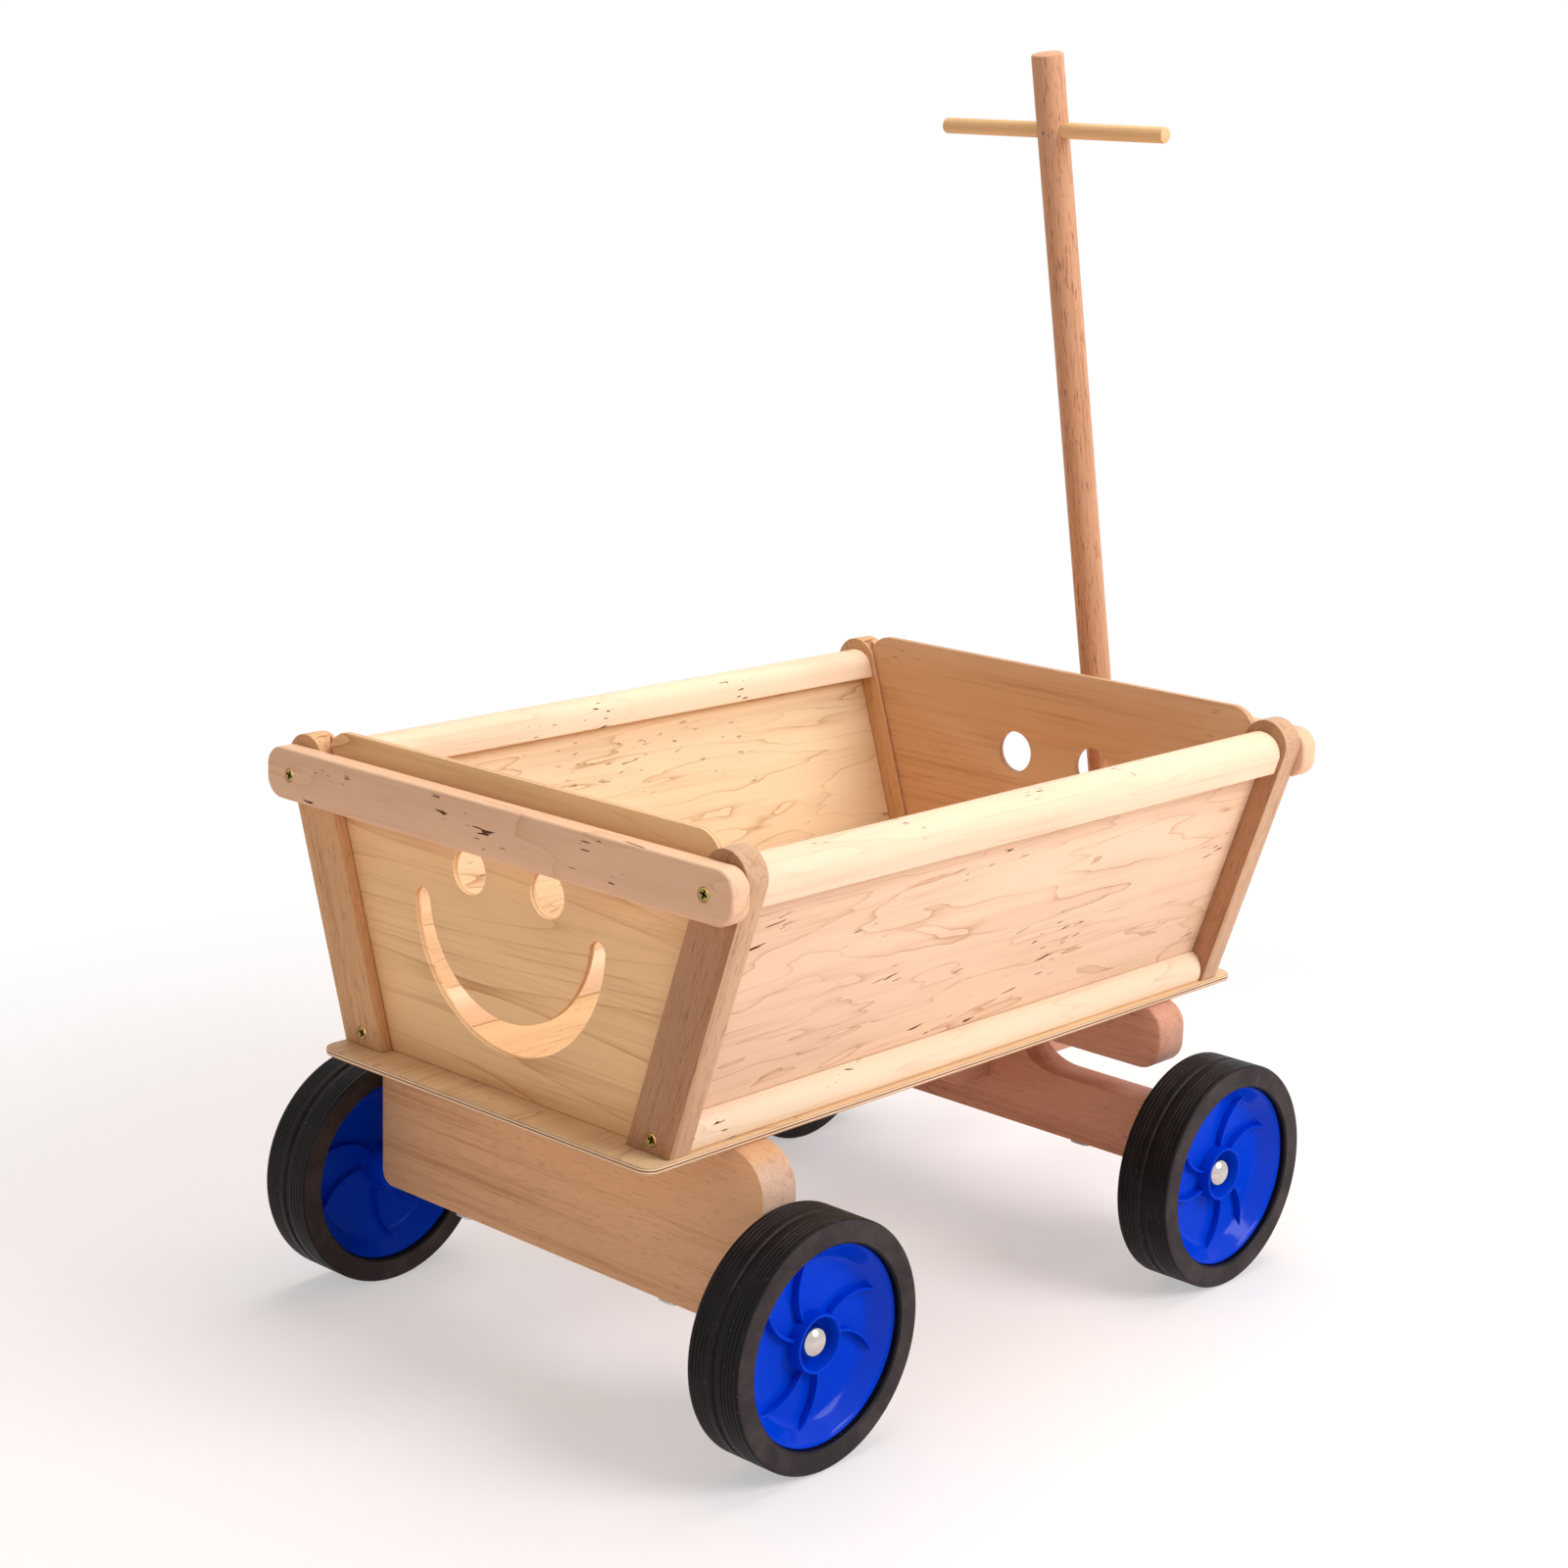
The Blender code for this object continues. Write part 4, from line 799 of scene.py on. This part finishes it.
def countersink(piece, node, end):
    """Cut the hole that a screw lies in."""
    long = screw_length(node) + sizes().fit
    mouth, shank = 0.0062, 0.0024
    tool = turned("hole", [(0.0, -0.004), (mouth, -0.004), (mouth, 0.0), (0.0054, 0.0010), (shank, 0.0040),
                           (shank, long), (0.0, long)], 36, "X")
    cut(piece, shift(tool, *screw_place(node, end)))


class CART_OT_screws(bpy.types.Operator):
    """Build the countersunk screws with their cross recesses"""
    bl_idname = "cart.screws"
    bl_label = "Screws"

    def execute(self, context):
        for kind in ("rail", "foot"):
            source = self.screw(kind, screw_length(f"{kind}_screw_{ENDS[0]}_{SIDES[0]}"))
            for end in ENDS:
                for name in SIDES:
                    node = f"{kind}_screw_{end}_{name}"
                    piece = copy(source, f"{kind}_screw_piece_{end}_{name}", *screw_place(node, end))
                    dress(piece, node, FINISH["brass"])
            bpy.data.objects.remove(source, do_unlink=True)
        return {"FINISHED"}

    def screw(self, kind, long):
        """A countersunk screw, marked for painted shade in its cross recess and, more lightly, over the
        middle of its head.
        """
        profile = [(0.0, 0.0005), (0.0028, 0.0003), (0.0046, 0.0), (0.0051, 0.0004), (0.0050, 0.0009),
                   (0.0021, 0.0038), (0.0020, long - 0.004), (0.0002, long), (0.0, long)]
        piece = turned(kind + "_screw", profile, 36, "X")
        for number in range(2):
            turn = math.radians(20 + 90 * number)
            reach, half = 0.0036, 0.0009
            slot = rounded((-reach, -half), (reach, half), [0.0005] * 4, 2)
            points = [(y * math.cos(turn) - z * math.sin(turn), y * math.sin(turn) + z * math.cos(turn))
                      for y, z in slot]
            cut(piece, board("slot", points, -0.002, 0.0034))
        smooth(piece)
        # Painted shade marks: 1 in the cross recess and 0.62 on the head's face inside its rim, for the shade
        # in and around the recess.
        painted_shade_marks = piece.data.attributes.new("recess", "FLOAT", "FACE")
        for face, mark in zip(piece.data.polygons, painted_shade_marks.data):
            sunk = 0.0004 < face.center.x < 0.0036 and face.normal.x < 0.3
            inner = face.center.x < 0.0006 and math.hypot(face.center.y, face.center.z) < 0.0041
            mark.value = 1.0 if sunk else 0.62 if inner else 0.0
        return piece


class CART_OT_running_gear(bpy.types.Operator):
    """Build the rear beam, the bolster, the steering beam and the tongue"""
    bl_idname = "cart.running_gear"
    bl_label = "Running gear"

    def execute(self, context):
        edge = sizes().edge
        low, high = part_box("rear_axle_beam")
        outline = rounded((low.y, low.z), (high.y, high.z), [0.012, 0.012, 0.034, 0.034], 14)
        beam = board("rear_beam_board", outline, low.x, high.x)
        cut(beam, self.slot(REAR_AXLE))
        round_over(beam, edge, 3, 40)
        dress(beam, "rear_axle_beam", FINISH["beam"])

        low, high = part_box("front_bolster")
        outline = rounded((low.y, low.z), (high.y, high.z), [0.022] * 4, 14)
        bolster = board("bolster_board", outline, low.x, high.x, edge=edge, sharp=40)
        dress(bolster, "front_bolster", FINISH["bogie"])

        low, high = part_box("steering_beam")
        foot, shoulder, arm_top = 0.012, 0.010, 0.1495
        boss_half, hollow = 0.050, 0.042
        half = arc((high.y - foot, low.z + foot), foot, 270, 360, 10)
        half += arc((high.y - shoulder, arm_top - shoulder), shoulder, 0, 90, 10)
        half += [(boss_half + hollow * (1 + y), high.z + (high.z - arm_top) * z)
                 for y, z in arc((0.0, 0.0), 1.0, 270, 180, 18)]
        outline = half + [(-y, z) for y, z in reversed(half)]
        beam = board("steering_board", outline, low.x, high.x)
        cut(beam, self.slot(FRONT_AXLE))
        tongue_low, tongue_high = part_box("drawbar_tongue")
        fit = sizes().fit
        hole = rounded((tongue_low.y - fit, tongue_low.z - fit), (tongue_high.y + fit, tongue_high.z + fit),
                       [0] * 4)
        cut(beam, board("mortise", hole, low.x - PAST, high.x + PAST))
        bore, head, seat = 0.0054, 0.0104, 0.111
        tool = turned("bore", [(0.0, low.z - PAST), (head, low.z - PAST), (head, seat), (bore, seat),
                               (bore, high.z + PAST), (0.0, high.z + PAST)], 32)
        cut(beam, shift(tool, (KINGPIN.x, 0.0, 0.0)))
        round_over(beam, 0.0014, 2, 40)
        dress(beam, "steering_beam", FINISH["bogie"])

        low, high = tongue_low, tongue_high
        outline = rounded((low.x, low.z), (high.x, high.z), [0.003, 0.0, 0.0, 0.003], 4)
        tongue = board("tongue_board", outline, low.y, high.y, "Y")
        cut(tongue, shift(drill(bore, low.z - PAST, high.z + PAST, 32), (KINGPIN.x, 0.0, 0.0)))
        round_over(tongue, 0.0012, 2, 40)
        dress(tongue, "drawbar_tongue", FINISH["tongue"])
        return {"FINISHED"}

    def slot(self, axle):
        """A tool for the groove that an axle lies in, under a beam."""
        radius = 0.0063
        outline = [(axle.x - radius, axle.z - 0.02), (axle.x + radius, axle.z - 0.02)]
        outline += arc((axle.x, axle.z), radius, 0, 180, 16)
        return board("groove", outline, -0.3, 0.3, "Y")


class CART_OT_wheels(bpy.types.Operator):
    """Build the grooved tyres, the ribbed wheel centres and the dome caps"""
    bl_idname = "cart.wheels"
    bl_label = "Wheels"

    def execute(self, context):
        low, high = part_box("tyre_rear_right")
        tyre = self.tyre((high.z - low.z) / 2, (high.y - low.y) / 2)
        hub_end = (low.y + high.y) / 2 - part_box("wheel_rim_rear_right")[1].y
        phases = (12.7, 56.5)
        rims = {end: self.rim(hub_end, math.radians(phase)) for end, phase in zip(ENDS, phases)}
        cap = self.cap()
        for end in ENDS:
            for name, side in zip(SIDES, (1, -1)):
                spot = middle(f"tyre_{end}_{name}")
                turn = math.pi if side > 0 else 0.0
                place = f"{end}_{name}"
                piece = copy(tyre, "tyre_ring_" + place, spot, turn)
                dress(piece, "tyre_" + place, FINISH["rubber"])
                piece = copy(rims[end], "wheel_centre_" + place, spot, turn)
                dress(piece, "wheel_rim_" + place, FINISH["blue"])
                cap_low, cap_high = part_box(f"{end}_axle_cap_{name}")
                seat = Vector((spot.x, cap_low.y if side > 0 else cap_high.y, spot.z))
                piece = copy(cap, "dome_cap_" + place, seat, turn)
                dress(piece, f"{end}_axle_cap_{name}", FINISH["chrome"])
        for source in (tyre, cap, *rims.values()):
            bpy.data.objects.remove(source, do_unlink=True)
        return {"FINISHED"}

    def tyre(self, radius, half):
        """A solid tyre with fine grooves on both sides of a wide one."""
        bore = 0.080
        shoulder = 0.003
        profile = [(bore, -half + 0.0015), (bore + 0.0015, -half), (radius - shoulder - 0.002, -half)]
        profile += arc((radius - shoulder, shoulder - half), shoulder, -90, 0, 8)
        fine = [(spot, 0.0010, 0.0012) for spot in (0.0200, 0.0164, 0.0128, 0.0092)]
        grooves = [(-spot, wide, deep) for spot, wide, deep in fine] + [(0.0, 0.0045, 0.002)] + fine[::-1]
        soft = 0.0003
        for spot, wide, deep in grooves:
            profile += [(radius, spot - wide / 2 - soft), (radius - soft, spot - wide / 2),
                        (radius - deep, spot - wide * 0.3), (radius - deep, spot + wide * 0.3),
                        (radius - soft, spot + wide / 2), (radius, spot + wide / 2 + soft)]
        profile += arc((radius - shoulder, half - shoulder), shoulder, 0, 90, 8)
        profile += [(radius - shoulder - 0.002, half), (bore + 0.0015, half), (bore, half - 0.0015)]
        return turned("tyre", profile, 128, "-Y")

    def rim(self, hub_end, phase):
        """A dished wheel centre with three pairs of ribs, turned by a phase."""
        outer = 0.0797
        lip = outer - 0.002
        dish = 0.0606
        web = 0.004
        back = -0.003
        half = 0.0205
        soft = 0.0008
        deep = half - 0.0006
        bowl = [(1.0, 0.0), (0.86, 0.19), (0.72, 0.37), (0.58, 0.55), (0.44, 0.73), (0.37, 0.81),
                (0.29, 0.88), (0.20, 0.94), (0.10, 0.98), (0.0, 1.0)]
        profile = [(outer, half - soft), (outer - soft, half), (lip + 0.001, half)]
        profile += [(dish + (lip - dish) * x, deep + (web - deep) * y) for x, y in bowl]
        top = 0.0165
        seat = 0.0055
        bore = 0.0064
        tube = 0.018
        profile += [(0.0252, web), (0.0242, web + 0.0006), (0.0237, web + 0.002), (0.0235, top - 0.0012),
                    (0.0231, top - 0.0003), (0.0223, top), (0.0213, top - 0.0003), (0.0206, top - 0.0012),
                    (0.0205, seat + 0.0012), (0.0196, seat), (bore, seat), (bore, hub_end),
                    (tube - soft, hub_end), (tube, hub_end + soft), (tube, back - 0.001),
                    (tube + 0.001, back)]
        profile += [(dish + (lip - dish) * x, -half + (back + half) * y) for x, y in reversed(bowl)]
        profile += [(outer - soft, -half), (outer, soft - half)]
        rim = turned("rim", profile, 112, "-Y")
        pair = math.radians(20.5)
        for number in range(3):
            for side in (pair, -pair):
                cut(rim, self.rib(phase + 2 * math.pi * number / 3 + side), "UNION")
        smooth(rim, 40)
        return rim

    def rib(self, middle_turn):
        """A curved rib that shows on both faces of the web."""
        start, stop, thin = 0.022, 0.0735, 0.0013
        outer_top, inner_top = -0.0105, 0.0095
        steps = 14
        edges = ([], [])
        for step in range(steps + 1):
            share = step / steps
            radius = start + (stop - start) * share
            angle = middle_turn + math.radians(9.3 - 26 * share ** 1.5)
            half = thin / radius
            for edge, turn in zip(edges, (angle - half, angle + half)):
                edge.append((radius * math.cos(turn), radius * math.sin(turn)))
        outline = edges[0] + edges[1][::-1]
        return board("rib", outline, outer_top, inner_top, "Y", edge=0.0007, segments=2, sharp=50)

    def cap(self):
        """A dome cap with the socket that presses onto an axle's end."""
        radius, skirt, rise = 0.0138, 0.0015, 0.010
        socket, depth, soft = 0.0063, 0.005, 0.0004
        dome = [(x * radius, skirt + y * rise) for x, y in arc((0.0, 0.0), 1.0, 0, 90, 16)]
        dome[-1] = (0.0, skirt + rise)
        profile = [(0.0, depth), (socket, depth), (socket, 0.0), (radius - soft, 0.0), (radius, soft)] + dome
        return turned("cap", profile, 48, "-Y")


class CART_OT_drawbar(bpy.types.Operator):
    """Build the round drawbar with its cross handle"""
    bl_idname = "cart.drawbar"
    bl_label = "Drawbar"

    def execute(self, context):
        radius = 0.014
        self.bar(radius)
        self.nail(radius)
        low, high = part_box("drawbar_crossbar")
        half = (high.y - low.y) / 2
        end = [(0.007, half - 0.0022), (0.0065, half - 0.0007), (0.0054, half), (0.0, half)]
        profile = [(across, -along) for across, along in reversed(end)] + end
        grip = shift(turned("cross_handle", profile, 36, "Y"), HANDLE)
        dress(grip, "drawbar_crossbar", FINISH["handle"])
        return {"FINISHED"}

    def bar(self, radius):
        """The round bar, with bores for the pivot bolt and the cross handle."""
        long, soft = 0.914, 0.0022
        pivot_bore, handle_bore, reach = 0.0044, 0.0073, 0.03
        profile = arc((0.0, 0.0), radius, -90, 0, 10)
        profile[0] = (0.0, -radius)
        profile.append((radius, long - soft))
        profile += arc((radius - soft, long - soft), soft, 20, 90, 4)
        profile.append((0.0, long))
        steps = 48
        bar = shift(turned("bar", profile, steps), (0.0, 0.0, 0.0), math.pi / steps)
        cut(bar, drill(pivot_bore, -reach, reach, 24, "Y"))
        cut(bar, shift(drill(handle_bore, -reach, reach, 32, "Y"), (0.0, 0.0, BAR_REACH)))
        clean(bar)
        shift(bar, (PIVOT.x, 0.0, PIVOT.z), lean=BAR_LEAN)
        smooth(bar)
        dress(bar, "drawbar_rod", FINISH["bar"])

    def nail(self, radius):
        """The nail's head that shows where the handle goes through the bar."""
        profile = [(0.0, -0.002), (0.0010, -0.002), (0.0010, -0.0002), (0.0016, -0.0001), (0.0014, 0.0003),
                   (0.0, 0.0004)]
        nail = turned("handle_nail", [(across, radius + along) for across, along in profile], 20, "-X")
        shift(nail, HANDLE, lean=BAR_LEAN)
        nail.data.materials.append(FINISH["nail"])
        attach(nail, BODY_OF["drawbar_rod"])


class CART_OT_metalwork(bpy.types.Operator):
    """Build the axles, their straps, the kingpin, and the fork with its rivets and bolt"""
    bl_idname = "cart.metalwork"
    bl_label = "Metalwork"

    def execute(self, context):
        self.axles()
        self.kingpin()
        self.fork()
        return {"FINISHED"}

    def steel(self, piece, node):
        dress(piece, node, FINISH["steel"])

    def axles(self):
        low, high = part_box("rear_axle_strap_left")
        long = (high.x - low.x) / 2
        wide = (high.y - low.y) / 2
        outline = rounded((-long, -wide), (long, wide), [wide / 2] * 4, 6)
        strap = board("strap", outline, 0.0, high.z - low.z, "Z", edge=0.0006, segments=2)
        head = [(0.0, -0.0018)] + arc((0.0, 0.0008), 0.0045, -60, -10, 6, 0.6)
        head += [(0.0044, 0.0009), (0.0, 0.0009)]
        for along in (-0.6, 0.6):
            cut(strap, shift(turned("head", head, 24), (along * long, 0.0, 0.0)), "UNION")
        smooth(strap)
        for end in ENDS:
            node = end + "_axle_rod"
            low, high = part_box(node)
            radius = (high.z - low.z) / 2
            half = (high.y - low.y) / 2
            soft = 0.0008
            profile = [(0.0, -half), (radius - soft, -half), (radius, soft - half), (radius, half - soft),
                       (radius - soft, half), (0.0, half)]
            self.steel(shift(turned(end + "_axle_bar", profile, 40, "Y"), middle(node)), node)
            for name in SIDES:
                node = f"{end}_axle_strap_{name}"
                low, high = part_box(node)
                spot = middle(node)
                spot.z = low.z
                self.steel(copy(strap, f"{end}_strap_plate_{name}", spot), node)
        bpy.data.objects.remove(strap, do_unlink=True)

    def kingpin(self):
        spot = (KINGPIN.x, KINGPIN.y, 0.0)
        low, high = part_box("kingpin_bolt")
        head = low.z + 0.005
        shank = 0.005
        profile = [(0.0, low.z), (0.0075, low.z), (0.0094, low.z + 0.0010), (0.010, low.z + 0.0022),
                   (0.010, head), (shank, head)]
        profile += self.thread(shank, high.z - 0.016, high.z) + [(0.0, high.z)]
        self.steel(shift(turned("kingpin_shank", profile, 32), spot), "kingpin_bolt")
        rings = (("kingpin_ring", "kingpin_washer", 0.0053, 0.013),
                 ("turning_ring", "turning_plate", 0.0055, 0.030))
        for name, node, bore, radius in rings:
            low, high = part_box(node)
            self.steel(shift(self.washer(name, bore, radius, low.z, high.z), spot), node)
        low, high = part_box("kingpin_nut")
        nut = self.nut("kingpin_hex_nut", (high.x - low.x) / 2, 0.0053, low.z, high.z, "Z")
        self.steel(shift(nut, spot), "kingpin_nut")

    def thread(self, radius, start, stop):
        """Rings that read as a screw thread, up to a chamfered end."""
        profile = []
        pitch = 0.001
        count = int((stop - start) / pitch) - 1
        for step in range(count):
            along = start + pitch * step
            profile += [(radius, along), (radius - 0.0004, along + pitch / 2)]
        return profile + [(radius, start + pitch * count), (radius - pitch, stop)]

    def washer(self, name, bore, radius, low, high):
        soft = 0.0003
        return turned(name, [(bore, low), (radius - soft, low), (radius, low + soft), (radius, high - soft),
                             (radius - soft, high), (bore, high)], 36)

    def nut(self, name, radius, bore, low, high, axis):
        """A hexagon nut with its corners rounded over."""
        outline = []
        for corner in range(6):
            angle = math.radians(60 * corner)
            outline.append((radius * math.cos(angle), radius * math.sin(angle)))
        piece = board(name, outline, low, high, axis, edge=0.0007, segments=2)
        cut(piece, drill(bore, low - PAST, high + PAST, axis=axis))
        smooth(piece)
        return piece

    def fork(self):
        low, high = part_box("fork_cheek_left")
        half = (high.z - low.z) / 2
        corner = 0.003
        outline = [(low.x + corner, high.z), (low.x, high.z - corner), (low.x, low.z + corner),
                   (low.x + corner, low.z)]
        outline += arc((high.x - half, low.z + half), half, -90, 90, 24)
        cheek = board("cheek", outline, 0.0, high.y - low.y, "Y", edge=0.0006, segments=2)
        places = [(middle(f"fork_rivet_{number}"), 0.0033) for number in (1, 2)] + [(PIVOT, 0.0045)]
        for spot, radius in places:
            cut(cheek, shift(drill(radius, -PAST, 2 * PAST, axis="Y"), (spot.x, 0.0, spot.z)))
        smooth(cheek)
        for name in SIDES:
            low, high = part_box("fork_cheek_" + name)
            self.steel(copy(cheek, "fork_plate_" + name, (0.0, low.y, 0.0)), "fork_cheek_" + name)
        bpy.data.objects.remove(cheek, do_unlink=True)
        for number in (1, 2):
            node = f"fork_rivet_{number}"
            low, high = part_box(node)
            top = (high.y - low.y) / 2
            face = top - 0.0022
            dome = [(0.003, face), (0.006, face), (0.0058, face + 0.0008), (0.0046, face + 0.0016),
                    (0.0026, face + 0.0021), (0.0, top)]
            profile = [(radius, -along) for radius, along in reversed(dome)] + dome
            self.steel(shift(turned(f"fork_pin_{number}", profile, 28, "Y"), middle(node)), node)
        low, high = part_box("pivot_bolt")
        nut_low, nut_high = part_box("pivot_nut")
        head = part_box("fork_cheek_right")[0].y - sizes().fit
        radius = (high.z - low.z) / 2
        shank = 0.004
        profile = [(0.0, low.y), (radius * 0.6, low.y + 0.0003), (radius * 0.92, low.y + 0.0012),
                   (radius, head - 0.001), (radius, head), (shank, head)]
        profile += self.thread(shank, nut_low.y - 0.002, high.y) + [(0.0, high.y)]
        self.steel(shift(turned("pivot_shank", profile, 32, "Y"), (PIVOT.x, 0.0, PIVOT.z)), "pivot_bolt")
        nut = self.nut("pivot_hex_nut", (nut_high.x - nut_low.x) / 2, 0.0043, nut_low.y, nut_high.y, "Y")
        self.steel(shift(nut, (PIVOT.x, 0.0, PIVOT.z)), "pivot_nut")


class CART_OT_stage(bpy.types.Operator):
    """Lay the pale floor and set up the studio light and the camera"""
    bl_idname = "cart.stage"
    bl_label = "Stage"

    def execute(self, context):
        scene = context.scene
        scene.view_settings.view_transform = "Standard"
        self.floor()
        self.world(scene)
        self.lamp("key", (0.9, -3.0, 2.3), (0.0, 0.0, 0.3), 2.2, 104, (0.96, 1.0, 1.08))
        self.lamp("top", (0.5, 0.2, 3.2), (0.0, 0.0, 0.3), 2.6, 64, (1.0, 0.96, 0.92))
        self.lamp("fill", (-3.0, -0.4, 1.4), (0.0, 0.0, 0.3), 2.0, 11, (1.0, 0.98, 0.96))
        self.camera(scene)
        return {"FINISHED"}

    def floor(self):
        bpy.ops.object.select_all(action="DESELECT")
        bpy.ops.mesh.primitive_plane_add(size=60.0, location=(0.0, 0.0, -0.0004))
        floor = bpy.context.object
        floor.name = "studio_floor"
        sheet = Sheet("white_floor", roughness=0.9)
        sheet.shader.inputs["Base Color"].default_value = (0.98, 0.87, 0.835, 1.0)
        path = sheet.add("ShaderNodeLightPath").outputs
        glow = sheet.add("ShaderNodeEmission", None, {"Color": (1.0, 1.0, 1.0)})
        glow.inputs["Strength"].default_value = 1.0
        seen = Wire(sheet, path["Is Camera Ray"]) + Wire(sheet, path["Is Glossy Ray"])
        seen = seen + Wire(sheet, path["Is Transmission Ray"])
        seen = seen.math("MINIMUM", seen, 1.0)
        east, north, _ = sheet.split(sheet.place())
        away = (east * east + north * north).above(1.0, 0.75)
        near = 0.44
        mixed = sheet.add("ShaderNodeMixShader", None, {0: seen * (away * (1.0 - near) + near),
                                                        1: sheet.shader.outputs[0], 2: glow.outputs[0]})
        out = sheet.tree.nodes["Material Output"]
        sheet.tree.links.new(mixed.outputs[0], out.inputs["Surface"])
        floor.data.materials.append(sheet.material)

    def world(self, scene):
        world = bpy.data.worlds.new("studio_white")
        world.use_nodes = True
        tree = world.node_tree
        back = tree.nodes["Background"]
        back.inputs["Color"].default_value = (1.0, 1.0, 1.0, 1.0)
        path = tree.nodes.new("ShaderNodeLightPath")
        strength = tree.nodes.new("ShaderNodeMapRange")
        strength.inputs["To Min"].default_value = 0.27
        strength.inputs["To Max"].default_value = 1.0
        rays = path.outputs["Is Camera Ray"]
        for other in ("Is Glossy Ray", "Is Transmission Ray"):
            both = tree.nodes.new("ShaderNodeMath")
            both.operation = "MAXIMUM"
            tree.links.new(rays, both.inputs[0])
            tree.links.new(path.outputs[other], both.inputs[1])
            rays = both.outputs[0]
        tree.links.new(rays, strength.inputs["Value"])
        tree.links.new(strength.outputs[0], back.inputs["Strength"])
        scene.world = world

    def lamp(self, name, spot, aim, size, power, colour):
        lamp = bpy.data.lights.new(name, "AREA")
        lamp.shape = "DISK"
        lamp.size = size
        lamp.energy = power
        lamp.color = colour
        thing = bpy.data.objects.new(name, lamp)
        bpy.context.scene.collection.objects.link(thing)
        thing.location = spot
        thing.rotation_euler = (Vector(aim) - Vector(spot)).to_track_quat("-Z", "Y").to_euler()

    def camera(self, scene):
        lens = bpy.data.cameras.new("photo_camera")
        lens.sensor_width = 36.0
        lens.lens = 68.59
        lens.clip_end = 60.0
        thing = bpy.data.objects.new("photo_camera", lens)
        scene.collection.objects.link(thing)
        bearing = math.radians(42.81)
        dip = math.radians(13.50)
        roll = math.radians(1.72)
        ahead = Vector((math.cos(dip) * math.cos(bearing), math.cos(dip) * math.sin(bearing), -math.sin(dip)))
        right = ahead.cross(Vector((0.0, 0.0, 1.0))).normalized()
        up = right.cross(ahead)
        across = math.cos(roll) * right + math.sin(roll) * up
        upright = math.cos(roll) * up - math.sin(roll) * right
        turn = Matrix((across, upright, -ahead)).transposed().to_4x4()
        thing.matrix_world = Matrix.Translation((-1.8591, -1.6436, 1.0248)) @ turn
        scene.camera = thing


class CART_PT_build(bpy.types.Panel):
    """Buttons for each group of pieces"""
    bl_label = "Hand cart"
    bl_idname = "CART_PT_build"
    bl_space_type = "VIEW_3D"
    bl_region_type = "UI"
    bl_category = "Cart"

    def draw(self, context):
        for operator in OPERATORS:
            self.layout.operator(operator.bl_idname)
        for group in (context.scene.cart_sizes, context.scene.cart_colours):
            box = self.layout.box()
            for name in group.__annotations__:
                box.prop(group, name)


OPERATORS = (CART_OT_floor, CART_OT_sides, CART_OT_ends, CART_OT_screws, CART_OT_running_gear, CART_OT_wheels,
             CART_OT_drawbar, CART_OT_metalwork, CART_OT_stage)
CLASSES = (CartSizes, CartColours) + OPERATORS + (CART_PT_build,)
FINISH = {}


def register():
    for item in CLASSES:
        bpy.utils.register_class(item)
    bpy.types.Scene.cart_sizes = bpy.props.PointerProperty(type=CartSizes)
    bpy.types.Scene.cart_colours = bpy.props.PointerProperty(type=CartColours)


def unregister():
    del bpy.types.Scene.cart_colours
    del bpy.types.Scene.cart_sizes
    for item in reversed(CLASSES):
        bpy.utils.unregister_class(item)


def main():
    register()
    FINISH.update(make_finishes())
    bpy.ops.cart.floor()
    bpy.ops.cart.sides()
    bpy.ops.cart.ends()
    bpy.ops.cart.screws()
    bpy.ops.cart.running_gear()
    bpy.ops.cart.wheels()
    bpy.ops.cart.drawbar()
    bpy.ops.cart.metalwork()
    bpy.ops.cart.stage()


if __name__ == "__main__":
    main()
